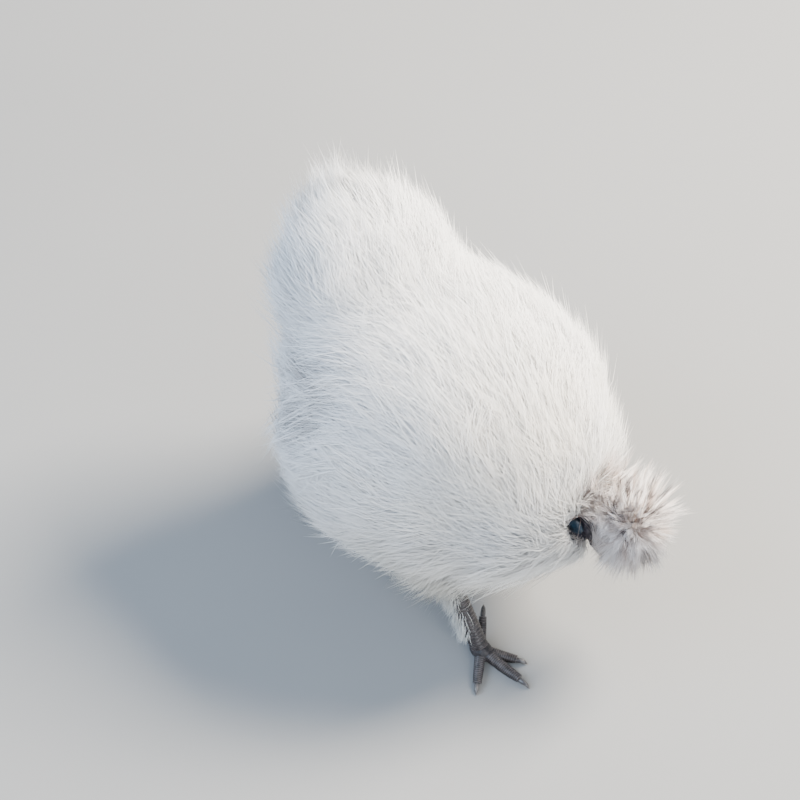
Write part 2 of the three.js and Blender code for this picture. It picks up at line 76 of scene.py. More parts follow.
# Toes: turn towards the hen's middle in degrees, length, radius and lift of the tip
TOES = {
    "middle": (0, 35, 4.5, 0),
    "inner": (26, 25, 4.2, 0),
    "outer": (-54, 27, 4.2, 0),
    "hind": (160, 19, 4.1, 0),
    "fifth": (128, 21, 3.6, 14),
}
CLAWS = {"middle": 9, "inner": 8, "outer": 8, "hind": 8, "fifth": 9}  # their lengths
CLAW_RADII = [(0, 2.3), (0.6, 1.6), (1, 0.45)]
LID_RADIUS = 1.25
# Size of the remesh that runs each piece's surfaces together
LEG_VOXEL = 0.7
FACE_VOXEL = 0.55
LOBE_VOXEL = 0.5
BILL_VOXEL = 0.45

# A scute is a curved plate for a toe of radius 1, made of steps across and rows along
SCUTE_ARC = math.radians(74)
SCUTE_LONG = 0.7
SCUTE_STEPS = 6
SCUTE_ROWS = 3
TOE_SCUTES_APART = 1.9
SHANK_SCUTES = 23
SHANK_ROWS = (1.0, 0.975, 0.95)  # the size of each row on the shank, which lie a third of a turn apart

# The skin: rings along each form and points round it, size of the remesh, and where evening it out spares
# its shape, by the distance from the head and by the height over the floor
GRIDS = {
    "torso": (60, 72),
    "tail": (40, 48),
    "neck": (44, 44),
    "bib": (30, 36),
    "nape": (20, 24),
    "crest": (24, 28),
    "wing": (36, 36),
    "thigh": (32, 36),
}
LEG_GRID = (24, 20)
CLAW_GRID = (24, 16)
VOXEL = 3.4
SPARE_HEAD = (45, 85)
SPARE_LOW = (60, 100)

# Coat styles: strand length, rise of the tips over the skin, width at the thickest, clump radius, droop,
# the share of a strand that stands free at its end, how much a clump closes at its tip, how far the strands
# at the end of the form push out along its normal, and how far the clumps lean at random
STYLE_KEYS = ("long", "rise", "wide", "clump", "droop", "free", "close", "push", "mess")
STYLES = {
    "torso": (44, 16, 0.42, 8.0, 0.3, 0.35, 0.15, 0.2, 0.1),
    "tail": (30, 16, 0.42, 7.5, 0.0, 0.5, 0.2, 0.7, 0.12),
    "neck": (38, 11, 0.40, 7.0, 0.1, 0.25, 0.15, 0.0, 0.08),
    "wing": (42, 8, 0.44, 7.5, 0.12, 0.4, 0.3, 0.4, 0.1),
    "thigh": (32, 14, 0.42, 7.0, 0.3, 0.4, 0.25, 0.2, 0.1),
    "crest": (15, 2, 0.34, 2.0, 0.0, 0.9, 0.5, 5.0, 0.7),
}
STYLE_OF = {"bib": "torso", "nape": "crest"}  # forms that take the style of another
# Where the end of a form begins and is full, from 0 at its front pole to pi at its rear one
ENDS = {"tail": (1.1, 2.2), "crest": (-2, -1), "nape": (-2, -1)}
OTHER_ENDS = (1.7, 2.8)
FORM_REACH = 6.0  # how fast a form's say in the lie and style falls with the distance from it
CREST_SAY = 3  # the crest's say against the other forms
# The coat's layers: clumps, strands in each, the points kept of each strand's line, and the shares of the
# style's rise and length
LAYERS = {
    "coat": (7500, 14, [0, 1, 2], (0.35, 1.1), (0.7, 1.1)),
    "down": (9000, 12, [0, 2], (0.25, 0.8), (0.4, 0.8)),
}
# Nodes of the part that the skin and the coat stand for, and those that the face stands for
FLESH = ("torso", "tail", "neck", "crest", "wing_right", "wing_left", "thigh_right", "thigh_left")
FACE_NODES = ("head", "comb", "wattle_right", "wattle_left")
OWNERS = {"torso": ("torso", "bib"), "crest": ("crest", "nape")}  # forms whose strands a piece takes
QUICK_SHARE = 1
LIMIT = 190000  # triangles in one piece of the coat

# Clumps and strands
STEPS = 3  # of each clump's middle line
CURL = 0.16  # how far the middle lines turn and curl at random, in radians
SPREAD = 1.15  # how far a clump's roots spread, as a share of its radius
SINK = 1.2  # how deep the roots lie under the skin
MASS = 0.7  # how far the coat's height swells and sinks over the body, and over what length
MASS_SIZE = 24
CLUMP_RISE = (0.9, 0.2)  # a clump's own share of height and length: the least, and how much more at random
CLUMP_LONG = (0.88, 0.24)
NEAT = 0.75  # how much less the strands twist in the wisps and the ragged locks
STRAY_SHARE = 0.07  # strands that stand out of their clump, this much higher and more twisted
STRAY_RISE = 1.35
STRAY_TWIST = 1.8
STRAND_AT = (0.0, 0.5, 1.0)  # the points of a strand, and its rise, twist and width at them
RISE_AT = (0.0, 0.58, 1.0)
TWIST_AT = (0.0, 0.9, 1.9)
TAPER = (0.85, 1.0)
SECTION = ((-0.5, 0.0), (0.5, 0.0), (0.0, 0.55))  # a strand's three corners as shares of its width
SOFT = 0.85  # how far the strands are shaded with the skin's normal instead of their own
PATCH = 0.003  # the side of each strand's patch on the bake map
LEG_ROOTS = 70  # clumps on each shank, the strands in each, and their length
LEG_PER = 9
LEG_LONG = 13

# Lie of the feathers
FLOW_FROM = (10, 0, 0)  # it starts at this point of the head's own frame
FLOW_REACH = 70
SWIRLS = ((0.3, 38), (0.22, 13))  # how far the lie turns to and fro, in radians, and over what length
FAN_FROM = np.array([-34.0, 0.0, 170.0])  # the tail's feathers spread from this point
CREST_BACK = (-0.87, 0.45, 0.2)  # the crest's longest feathers stand this way in the head's frame
# Those over the right cheek hang this way. It comes in over the stretches that follow, to the right and
# ahead of the point where the lie starts.
CREST_HANG = (0.95, -0.4, -1.05)
HANG_ASIDE = (0, 10)
HANG_AHEAD = (-14, -4)
HANG_LONG = 0.65  # how much longer they are
CREST_TURN = 1.2  # how far the crest's lie turns at random
WISP_LONG = 1.2  # how much longer the feathers behind the crest are, and how much more their clumps close
WISP_CLOSE = 0.45
# Ragged long feathers over the end of each wing, with its place on the left side
RAGGED_AT = (-34, 80, 172)
RAGGED_NEAR = 20
RAGGED_FAR = 46
RAGGED_WAY = np.array([-0.5, 0.0, -1.7])
RAGGED_SHARES = (1.0, 0.35)  # on the right and on the left side
RAGGED_THIN = 0.6  # the share of the clumps that is left out among them
RAGGED_LONG = 0.7  # how much longer they are, more closed at the tips and higher over the skin
RAGGED_CLOSE = 0.7
RAGGED_RISE = 0.3

# The coat turns short and thin round the face, and leaves the bare skin about each ear lobe open.
# Both are given in the head's own frame, for its left side.
BARE_AT = (-4.8, 12.9, -4.2)
BARE_WAY = (-0.6, 0.58, 0.55)
BARE_NARROW = (-0.164, -0.763, 0.624)  # across this way the bare skin is narrower by the next share
BARE_SHARE = 1.45
BARE_RADIUS = 14
BARE_DEEP = 7  # the skin under it lies this far behind it
BARE_BEFORE = 60  # no strand passes before it as far out as this
BARE_EDGE = (0.75, 0.98)  # where the strands end round it, as shares of the radius
BARE_SHORT = 0.6  # how much shorter the feathers round it are, up to and beyond these distances from it
BARE_NEAR = 9
BARE_FAR = 26
# Over the face the crest ends at this height over the head's middle. The edge rises to the front by the
# slope that follows, and lies lower on the right side by the last value.
FRINGE = (5.5, 0.3, 12)
FRINGE_FROM = -6
FRINGE_LEAST = 0.3  # no strand is cut shorter than this share
FRINGE_SPREAD = (0.8, 1.15)
# No strand of the other forms reaches into this ellipsoid round the face
FACE_AT = (11, 0, -3)
FACE_SIZE = (18, 13, 11)

# Colours and finishes
# Brown over the wing ends and near the crest, also painted as shadow round the bare skin by each ear lobe
SOIL_AND_SHADE = (0.24, 0.195, 0.17, 1)
FACE_DARK = (0.018, 0.016, 0.028, 1)
PLUMAGE_TONES = {
    "White": (0.93, 0.925, 0.91, 1),
    "Warm": (0.92, 0.86, 0.76, 1),
    # darker olive-grey for the body low down near the floor
    "Dusty": (0.52, 0.52, 0.45, 1),
    # cool grey for the feathers' roots, painted shade deep in the coat
    "Root": (0.82, 0.82, 0.85, 1),
}
DOWN_ALONG = 0.35  # the skin is coloured as a feather is at this share of its length
SHEEN = dict(sheen_weight=0.25, sheen_roughness=0.5, specular_ior_level=0.25)
# Bare skins: dark and light tone, furrows painted as shade, roughness, cells of the grain per metre, weight
# of its folds, depth of the relief in millimetres, coat, and the tone of the front edges painted as a
# highlight
SKINS = {
    "face_skin": dict(
        dark=(0.018, 0.014, 0.026, 1),
        light=(0.05, 0.045, 0.062, 1),
        furrow=(0.006, 0.005, 0.01, 1),
        rough=0.38,
        size=900,
        fold=0.8,
        depth=0.5,
        coat=0.1,
    ),
    "ear_lobe_skin": dict(
        dark=(0.008, 0.012, 0.020, 1),
        light=(0.012, 0.038, 0.066, 1),
        furrow=(0.006, 0.01, 0.014, 1),
        rough=0.36,
        size=500,
        fold=0.5,
        depth=0.3,
        coat=0.15,
    ),
    "leg_skin": dict(
        dark=(0.018, 0.014, 0.015, 1),
        light=(0.042, 0.034, 0.034, 1),
        furrow=(0.008, 0.006, 0.007, 1),
        rough=0.42,
        size=700,
        fold=0.5,
        depth=0.3,
        coat=0.0,
    ),
    "scute_skin": dict(
        dark=(0.022, 0.017, 0.017, 1),
        light=(0.055, 0.045, 0.043, 1),
        furrow=(0.01, 0.008, 0.009, 1),
        rough=0.36,
        size=1100,
        fold=0.4,
        depth=0.2,
        coat=0.15,
        edge=(0.13, 0.115, 0.115, 1),
    ),
}

# Floor, lights and camera, in metres except for the target and the distance: each light's place, power,
# size and colour
FLOOR_HALF = 12.0
LIT_AT = (0, 0, 0.15)
LIGHTS = {
    "key": ((0.3, 1.3, 1.6), 225, 0.8, (1.0, 0.92, 0.81)),
    "sky": ((-0.9, -1.5, 1.6), 68, 1.6, (0.60, 0.76, 1.0)),
    "front": ((1.8, -0.6, 0.9), 34, 1.2, (0.92, 0.96, 1.0)),
}
WORLD_TONE = (0.67, 0.80, 1.0, 1)
WORLD_STRENGTH = 0.7
CAMERA_TARGET = (0, 0, 158)
CAMERA_WAY = (0.462, -0.4465, 0.766)  # from the target to the camera
CAMERA_AWAY = 2200
CAMERA_LENS = 148.5
CAMERA_SENSOR = 36
CAMERA_SHIFT = (-0.05, -0.0225)

rng = np.random.default_rng(5)


# Numbers along a form
def along(stations, s):
    if np.isscalar(stations):
        return np.full_like(s, float(stations))
    value = np.full_like(s, float(stations[0][1]))
    for (s0, v0), (s1, v1) in zip(stations, stations[1:]):
        t = np.clip((s - s0) / (s1 - s0), 0, 1)
        t = (t * t * (3 - 2 * t) + t) / 2
        value = np.where(s >= s0, v0 + (v1 - v0) * t, value)
    return value


def smooth(value, low, high):
    t = np.clip((value - low) / (high - low), 0, 1)
    return t * t * (3 - 2 * t)


def unit(v):
    return v / np.maximum(np.linalg.norm(v, axis=-1, keepdims=True), 1e-9)


def dot(a, b):
    return np.sum(a * b, axis=-1, keepdims=True)


# A centripetal Catmull-Rom curve through the points, at s from 0 to 1
def on_curve(points, s):
    p = np.array(points, float)
    p = np.vstack([2 * p[0] - p[1], p, 2 * p[-1] - p[-2]])
    count = len(points) - 1
    i = np.minimum((s * count).astype(int), count - 1)
    w = (s * count - i)[:, None]
    p0, p1, p2, p3 = p[i], p[i + 1], p[i + 2], p[i + 3]
    pairs = ((p0, p1), (p1, p2), (p2, p3))
    d0, d1, d2 = [np.sqrt(np.linalg.norm(b - a, axis=1))[:, None] for a, b in pairs]
    m1 = ((p1 - p0) / d0 - (p2 - p0) / (d0 + d1) + (p2 - p1) / d1) * d1
    m2 = ((p2 - p1) / d1 - (p3 - p1) / (d1 + d2) + (p3 - p2) / d2) * d1
    c2 = -3 * p1 + 3 * p2 - 2 * m1 - m2
    c3 = 2 * p1 - 2 * p2 + m1 + m2
    return p1 + m1 * w + c2 * w**2 + c3 * w**3


# A rounded form along a spine: wide to both sides, tall above the spine and deep below it
class Form:
    def __init__(self, spine, wide, tall=None, deep=None, full=0.75, boxy=1, above=UP):
        self.spine = spine
        self.wide = wide
        self.tall = wide if tall is None else tall
        self.deep = self.tall if deep is None else deep
        self.full = full
        self.boxy = boxy
        self.above = np.array(above, float)

    def point(self, theta, phi, grow=0.0):
        s = (1 - np.cos(theta)) / 2
        step = 1e-3
        before, after = np.clip(s - step, 0, 1), np.clip(s + step, 0, 1)
        ahead = unit(on_curve(self.spine, after) - on_curve(self.spine, before))
        top = unit(self.above - ahead * dot(ahead, self.above))
        across = np.cross(top, ahead)
        full = np.abs(np.sin(theta)) ** self.full
        lower = np.sin(phi) < 0
        high = np.where(lower, along(self.deep, s), along(self.tall, s))
        power = np.where(lower, self.boxy, 1.0)
        swell = grow * np.abs(np.sin(theta))
        c, d = np.cos(phi), np.sin(phi)
        out = (along(self.wide, s) * full + swell) * np.sign(c) * np.abs(c) ** power
        rise = (high * full + swell) * np.sign(d) * np.abs(d) ** power
        at = on_curve(self.spine, s) + across * out[:, None] + top * rise[:, None]
        return at - ahead * (grow * np.cos(theta))[:, None]

    # Rings of points from pole to pole, with the way back along the form at each
    def grid(self, rings, sides, grow=0.0):
        theta = np.repeat(np.linspace(0.03, math.pi - 0.03, rings), sides)
        phi = np.tile(np.arange(sides) * 2 * math.pi / sides, rings)
        at = self.point(theta, phi, grow)
        step = 0.02
        back = self.point(theta + step, phi, grow) - self.point(theta - step, phi, grow)
        return at, unit(back), theta


def head_turn():
    cy, sy = math.cos(HEAD_YAW), math.sin(HEAD_YAW)
    cd, sd = math.cos(HEAD_DOWN), math.sin(HEAD_DOWN)
    yaw = np.array([[cy, -sy, 0], [sy, cy, 0], [0, 0, 1]])
    down = np.array([[cd, 0, sd], [0, 1, 0], [-sd, 0, cd]])
    return yaw @ down


HEAD = head_turn()


def head_point(x, y, z):
    return HEAD @ np.array([x, y, z], float) + np.array(HEAD_AT, float)


# The middle of the bare skin on each side of the head, and the way that it faces
def bare_sides():
    x, y, z = BARE_AT
    a, b, c = BARE_WAY
    return [(head_point(x, s * y, z), unit(HEAD @ np.array([a, s * b, c])), s) for s in SIDES.values()]


# How far points stand out before the bare skin and how far they are off its middle line
def before_bare(points, at, way, s):
    away = points - at
    out = away @ way
    rest = away - out[..., None] * way
    narrow = rest @ (HEAD @ (np.array(BARE_NARROW) * (1, s, 1)))
    return out, np.sqrt(np.sum(rest**2, axis=-1) + (BARE_SHARE**2 - 1) * narrow**2)


# The coat's strands leave the face free: those of the crest end over it, the others don't reach before it
def clear_face(lines, crested):
    own = (lines - np.array(HEAD_AT)) @ HEAD
    height = own[..., 2] - FRINGE[0] - FRINGE[1] * own[..., 0] + FRINGE[2] * (own[..., 1] < 0)
    over = crested & (own[:, -1, 0] > FRINGE_FROM)
    root, tip = height[:, 0], height[:, -1]
    share = np.clip(root / np.maximum(root - tip, 1e-3), FRINGE_LEAST, 1)
    share = np.where(over & (tip < 0), share, 1)
    share = np.where(share < 1, share * rng.uniform(*FRINGE_SPREAD, len(share)), 1)
    short = lines[:, :1] + (lines - lines[:, :1]) * share[:, None, None]
    before = np.linalg.norm((own - np.array(FACE_AT)) / np.array(FACE_SIZE), axis=-1) < 1
    return short, crested | before[:, 0] | ~before.any(1)


def mirrored(points, side):
    return [(x, side * y, z) for x, y, z in points]


def mirrored_both(point):
    return [np.array(mirrored([point], s)[0], float) for s in SIDES.values()]


forms = {
    "torso": Form(
        [BREAST, SHOULDERS, LOINS, RUMP],
        [(0, 66), (0.35, 88), (0.7, 85), (1, 78)],
        [(0, 60), (0.35, 68), (0.7, 68), (1, 54)],
        [(0, 54), (0.35, 69), (0.7, 76), (1, 62)],
        full=0.65,
        boxy=0.72,
    ),
    "tail": Form(
        TAIL,
        [(0, 58), (0.5, 58), (1, 31)],
        [(0, 44), (0.5, 42), (1, 22)],
    ),
    "neck": Form(
        [tuple(head_point(-11, 0, 2)), *NECK],
        [(0, 12), (0.33, 26), (0.67, 42), (1, 60)],
        [(0, 12), (0.33, 20), (0.67, 40), (1, 48)],
        [(0, 12), (0.33, 22), (0.67, 50), (1, 58)],
        above=(1, 0, 1),
    ),
    "bib": Form([(126, 15, 86), (109, -3, 98), (91, -14, 110)], [(0, 13), (0.5, 22), (1, 28)], full=0.5),
    "nape": Form([tuple(head_point(-14, 0, up)) for up in (22, 12, 3)], 10, above=(0, 1, 0)),
    "crest": Form(
        [tuple(head_point(*(np.array(CREST_AT) + up * CREST_CORE * CREST_LEAN))) for up in (1, 0, -1)],
        CREST_CORE,
        full=1,
        above=(0, 1, 0),
    ),
}
for side, s in SIDES.items():
    forms[f"wing_{side}"] = Form(
        mirrored(WING, s),
        [(0, 13), (0.5, 14), (1, 9)],
        [(0, 26), (0.4, 36), (0.8, 30), (1, 18)],
        [(0, 34), (0.4, 58), (0.8, 46), (1, 22)],
    )
    hock = HOCKS[side]
    forms[f"thigh_{side}"] = Form(
        [(hock[0] * 0.4, s * (HIP_SPREAD - 4), 124), (hock[0] * 0.75, s * (HIP_SPREAD + 9), 92), hock],
        [(0, 38), (0.5, 39), (1, 15)],
        [(0, 42), (0.5, 40), (1, 15)],
        [(0, 62), (0.5, 70), (1, 18)],
        above=(1, 0, 0),
    )


# The part of the body that a form belongs to, without its side, and the style of its coat
def part_of(name):
    return name.split("_")[0]


def style_of(name):
    return STYLE_OF.get(part_of(name), part_of(name))


# The frame's own origin is the middle of the part's box, so one eye gives the shift to it.
def shift_of_frame():
    low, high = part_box("eye_right")
    centre = np.array((low + high) / 2) / MM
    return centre - head_point(EYE_AT[0], -EYE_AT[1], EYE_AT[2])


# Meshes
def new_mesh(name, points, faces):
    mesh = bpy.data.meshes.new(name)
    mesh.from_pydata([tuple(p) for p in points], [], faces)
    mesh.validate()
    mesh.update()
    return mesh


def new_object(name, mesh):
    piece = bpy.data.objects.new(name, mesh)
    bpy.context.scene.collection.objects.link(piece)
    return piece

def smooth_shaded(mesh):
    mesh.polygons.foreach_set("use_smooth", np.ones(len(mesh.polygons), bool))


# Gives each point of a mesh a number under a name
def mark(mesh, key, values):
    layer = mesh.attributes.new(key, "FLOAT", "POINT")
    layer.data.foreach_set("value", np.asarray(values, np.float32))


def applied(piece):
    graph = bpy.context.evaluated_depsgraph_get()
    mesh = bpy.data.meshes.new_from_object(piece.evaluated_get(graph))
    piece.modifiers.clear()
    old = piece.data
    piece.data = mesh
    bpy.data.meshes.remove(old)
    mesh.name = piece.name
    return piece


def read(mesh, what="co"):
    values = np.zeros(len(mesh.vertices) * 3, np.float32)
    mesh.vertices.foreach_get(what, values)
    return values.reshape(-1, 3).astype(float)


def write(mesh, points):
    mesh.vertices.foreach_set("co", np.asarray(points, np.float32).ravel())
    mesh.update()


SHIFT = shift_of_frame()


def placed(points):
    return (np.asarray(points) + SHIFT) * MM


def grid_faces(rings, sides, start):
    faces = []
    for r in range(rings - 1):
        for k in range(sides):
            a = start + r * sides + k
            b = start + r * sides + (k + 1) % sides
            faces.append((a, b, b + sides, a + sides))
    faces.append(tuple(start + k for k in range(sides))[::-1])
    faces.append(tuple(start + (rings - 1) * sides + k for k in range(sides)))
    return faces

# Several forms as closed shells in one object
def shells(name, shapes, grids, grow=0.0):
    points, faces, start = [], [], 0
    for shape, (rings, sides) in zip(shapes, grids):
        at, _, _ = shape.grid(rings, sides, grow)
        points.append(at)
        faces += grid_faces(rings, sides, start)
        start += len(at)
    return new_object(name, new_mesh(name, placed(np.vstack(points)), faces))


# Runs what overlaps together into one closed surface, then smooths it by this many rounds
def fused(piece, voxel, rounds):
    merge = piece.modifiers.new("merge", "REMESH")
    merge.mode = "VOXEL"
    merge.voxel_size = voxel * MM
    merge.use_smooth_shade = True
    if rounds:
        soften = piece.modifiers.new("soften", "SMOOTH")
        soften.factor = 0.5
        soften.iterations = rounds
    return applied(piece)


def tree_of(points):
    tree = kdtree.KDTree(len(points))
    for i, p in enumerate(points):
        tree.insert(p, i)
    tree.balance()
    return tree


# Evens a surface out. Near the head and near the floor it keeps its shape when spare is set.
def relax(mesh, rounds, spare):
    edges = np.zeros(len(mesh.edges) * 2, np.int32)
    mesh.edges.foreach_get("vertices", edges)
    a, b = edges.reshape(-1, 2).T
    points = read(mesh) / MM
    degree = np.bincount(np.concatenate([a, b]), minlength=len(points))[:, None]
    free = np.ones(len(points))
    if spare:
        head = np.linalg.norm(points - SHIFT - np.array(HEAD_AT), axis=1)
        free = smooth(head, *SPARE_HEAD) * smooth(points[:, 2], *SPARE_LOW)
    for _ in range(rounds):
        total = np.zeros_like(points)
        np.add.at(total, a, points[b])
        np.add.at(total, b, points[a])
        points += 0.5 * free[:, None] * (total / degree - points)
    write(mesh, points * MM)


# Skin: all the forms run together into one closed surface
def make_skin():
    skin = shells("skin", forms.values(), [GRIDS[part_of(name)] for name in forms], -1.0)
    fused(skin, VOXEL, 0)
    relax(skin.data, 8, False)
    full, outward = read(skin.data) / MM, read(skin.data, "normal")
    relax(skin.data, 45, True)
    points = read(skin.data) / MM
    shrunk = np.maximum(dot(full - points, outward) - 1.0, 0)
    write(skin.data, (points + outward * shrunk * 0.9) * MM)
    relax(skin.data, 8, False)
    points = read(skin.data) / MM - SHIFT
    for at, way, s in bare_sides():
        out, off = before_bare(points, at, way, s)
        inside = 1 - smooth(off, BARE_RADIUS * 0.75, BARE_RADIUS)
        sink = np.maximum(out + BARE_DEEP, 0) * inside * (out < 40)
        points -= way * sink[:, None]
    write(skin.data, placed(points))
    bpy.context.view_layer.objects.active = skin
    skin.select_set(True)
    bpy.ops.object.mode_set(mode="EDIT")
    bpy.ops.mesh.select_all(action="SELECT")
    bpy.ops.mesh.normals_make_consistent(inside=False)
    bpy.ops.uv.smart_project(angle_limit=math.radians(66), island_margin=0.004)
    bpy.ops.object.mode_set(mode="OBJECT")
    skin.select_set(False)
    return skin


# What the skin tells the coat at each of its points: place, normal, lie of the feathers and style
class Lie:
    def __init__(self, skin):
        self.at = read(skin.data) / MM - SHIFT
        self.normal = read(skin.data, "normal")
        self.tree = tree_of(self.at)
        back, tail = self.mix_forms()
        self.find_lie(back, tail)
        self.find_marks()
        self.find_roots(skin.data)

    # Mixes what the forms say by how near each is, and gives the way back along them and the tail's share
    def mix_forms(self):
        count = len(self.at)
        back_along, total, ends = np.zeros((count, 3)), np.zeros((count, 1)), np.zeros(count)
        weights = []
        for name, form in forms.items():
            at, back, theta = form.grid(*GRIDS[part_of(name)])
            tree = tree_of(at)
            near, far = np.zeros(count, int), np.zeros(count)
            for i, p in enumerate(self.at):
                _, near[i], far[i] = tree.find(p)
            weight = np.exp(-np.maximum(far - 1.5, 0) / FORM_REACH)
            if style_of(name) == "crest":
                weight = weight * CREST_SAY
            back_along += back[near] * weight[:, None]
            total += weight[:, None]
            ends += smooth(theta[near], *ENDS.get(name, OTHER_ENDS)) * weight
            weights.append(weight)
        total = np.maximum(total, 1e-9)
        shares = np.stack(weights, axis=1) / total
        share = dict(zip(forms, shares.T))
        styles = np.array([STYLES[style_of(name)] for name in forms])
        self.style = dict(zip(STYLE_KEYS, (shares @ styles).T))
        self.ends = ends / total[:, 0]
        self.main = np.argmax(shares, axis=1)
        self.crested = np.isin(self.main, [list(forms).index(name) for name in OWNERS["crest"]])
        self.crest = share["crest"] + share["nape"]
        return back_along, share["tail"][:, None]

    # The way that the feathers lie over the skin, and the way that they stand off it
    def find_lie(self, back, tail):
        count = len(self.at)
        crest = self.crest[:, None]
        away = self.at - head_point(*FLOW_FROM)
        near_head = np.exp(-np.linalg.norm(away, axis=1) / FLOW_REACH)[:, None] * (1 - crest)
        own = away @ HEAD
        self.hang = smooth(-own[:, 1], *HANG_ASIDE) * smooth(own[:, 0], *HANG_AHEAD) * self.crest
        fan = unit(self.at - FAN_FROM)
        self.out = self.normal * (1 - tail) + fan * tail
        self.out = unit(self.out + self.hang[:, None] * (HEAD @ np.array(CREST_HANG)))
        self.ragged = np.zeros(count)
        for at, share in zip(mirrored_both(RAGGED_AT), RAGGED_SHARES):
            off = np.linalg.norm(self.at - at, axis=1)
            self.ragged += share * (1 - smooth(off, RAGGED_NEAR, RAGGED_FAR))
        flow = unit(unit(back) * (1 - near_head) + unit(away) * 2.2 * near_head)
        flow = flow - UP * self.style["droop"][:, None] + fan * tail + RAGGED_WAY * self.ragged[:, None]
        flow += rng.normal(0, CREST_TURN, (count, 3)) * crest
        flow -= self.normal * dot(flow, self.normal)
        flow = unit(flow)
        turn = np.zeros((count, 1))
        for angle, size in SWIRLS:
            turn[:, 0] += [noise.noise(Vector(p / size)) * angle * 2 for p in self.at]
        self.flow = flow * np.cos(turn) + np.cross(self.normal, flow) * np.sin(turn)

    # Changes of style, short round the face and long and neat where feathers hang, and the marks of colour
    def find_marks(self):
        bare = np.min([np.linalg.norm(self.at - at, axis=1) for at, _, _ in bare_sides()], axis=0)
        short = np.where(self.crested, 1, 1 - BARE_SHORT * (1 - smooth(bare, BARE_NEAR, BARE_FAR)))
        for key in ("long", "rise", "clump"):
            self.style[key] *= short
        self.wisp = smooth(self.normal @ (HEAD @ np.array(CREST_BACK)), 0.2, 0.9) * self.crest
        self.style["long"] *= 1 + WISP_LONG * self.wisp + HANG_LONG * self.hang
        self.style["long"] *= 1 + RAGGED_LONG * self.ragged
        self.style["close"] += WISP_CLOSE * self.wisp
        self.style["close"] += RAGGED_CLOSE * self.ragged
        self.style["rise"] *= 1 + RAGGED_RISE * self.ragged
        # Brown over the wing ends and round the crest
        self.soil = np.clip(self.ragged + self.crest, 0, 1)
        self.bare = np.zeros(len(self.at))
        for at, way, s in bare_sides():
            out, off = before_bare(self.at, at, way, s)
            self.bare += (np.abs(out) < 14) * (1 - smooth(off, BARE_RADIUS * 0.95, BARE_RADIUS * 1.15))
            # A ring round each bare patch is painted shadow on the coat and on the skin
            self.soil += 0.5 * (np.abs(out) < 20) * (1 - smooth(off, BARE_RADIUS, BARE_RADIUS * 1.9))
        self.soil = np.minimum(self.soil, 1)

    # The place of each skin point on the skin's own unwrap
    def find_roots(self, mesh):
        mark(mesh, "soil", self.soil)
        mark(mesh, "bare", self.bare)
        corner = np.zeros(len(mesh.loops), np.int32)
        mesh.loops.foreach_get("vertex_index", corner)
        place = np.zeros(len(mesh.loops) * 2, np.float32)
        mesh.uv_layers.active.data.foreach_get("uv", place)
        self.root = np.zeros((len(self.at), 2))
        self.root[corner] = place.reshape(-1, 2)

    def nearest(self, points):
        return np.array([self.tree.find(p)[1] for p in points])

    def onto(self, points, index):
        away = points - self.at[index]
        return points - self.normal[index] * dot(away, self.normal[index])


# Roots of the clumps: spread evenly over the skin's faces by area, denser where the style is short
def clump_roots(skin, lie, count):
    mesh = skin.data
    mesh.calc_loop_triangles()
    corners = np.zeros(len(mesh.loop_triangles) * 3, np.int32)
    mesh.loop_triangles.foreach_get("vertices", corners)
    corners = corners.reshape(-1, 3)
    a, b, c = (lie.at[corners[:, k]] for k in range(3))
    area = np.linalg.norm(np.cross(b - a, c - a), axis=1) / 2
    dense = 1 / lie.style["clump"][corners[:, 0]] ** 1.6
    area = area * dense
    total = np.cumsum(area)
    pick = np.searchsorted(total, (np.arange(count) + rng.random(count)) * total[-1] / count)
    pick = np.minimum(pick, len(corners) - 1)
    u, v = rng.random(count), rng.random(count)
    flip = u + v > 1
    u[flip], v[flip] = 1 - u[flip], 1 - v[flip]
    u, v = u[:, None], v[:, None]
    return a[pick] * (1 - u - v) + b[pick] * u + c[pick] * v


# The clumps' middle lines, marched along the lie over the skin and freed towards their ends
def guides(lie, roots):
    index = lie.nearest(roots)
    style = {key: values[index] for key, values in lie.style.items()}
    here = lie.onto(roots, index)
    turn = rng.normal(0, CURL, len(roots))[:, None]
    curl = rng.normal(0, CURL, len(roots))[:, None] * (1 + 1.5 * lie.ragged[index])[:, None]
    heading = unit(lie.flow[index] + np.cross(lie.normal[index], lie.flow[index]) * turn)
    line, normals = [here], [lie.normal[index]]
    at_index = index
    push = (style["push"] * lie.ends[index])[:, None]
    lean = rng.normal(0, 1, (len(roots), 3)) * style["mess"][:, None]
    for step in range(1, STEPS + 1):
        reach = (style["long"] / STEPS)[:, None]
        heading = unit(heading * 0.6 + lie.flow[at_index] * 0.4 + lie.out[index] * push * 0.6)
        heading = unit(heading + lean / STEPS * (1 + 2 * (step == 1)))
        heading = unit(heading + np.cross(lie.normal[at_index], heading) * curl)
        ahead = here + heading * reach
        at_index = lie.nearest(ahead)
        laid = lie.onto(ahead, at_index)
        loose = np.clip(style["free"] * (step / STEPS) ** 1.5 + push[:, 0] * 0.8, 0, 1)[:, None]
        here = laid * (1 - loose) + ahead * loose
        heading = unit(heading - lie.normal[at_index] * dot(heading, lie.normal[at_index]) * (1 - loose))
        line.append(here)
        normals.append(unit(lie.normal[at_index] * 0.6 + normals[-1] * 0.4))
    return np.stack(line, 1), np.stack(normals, 1), index, style


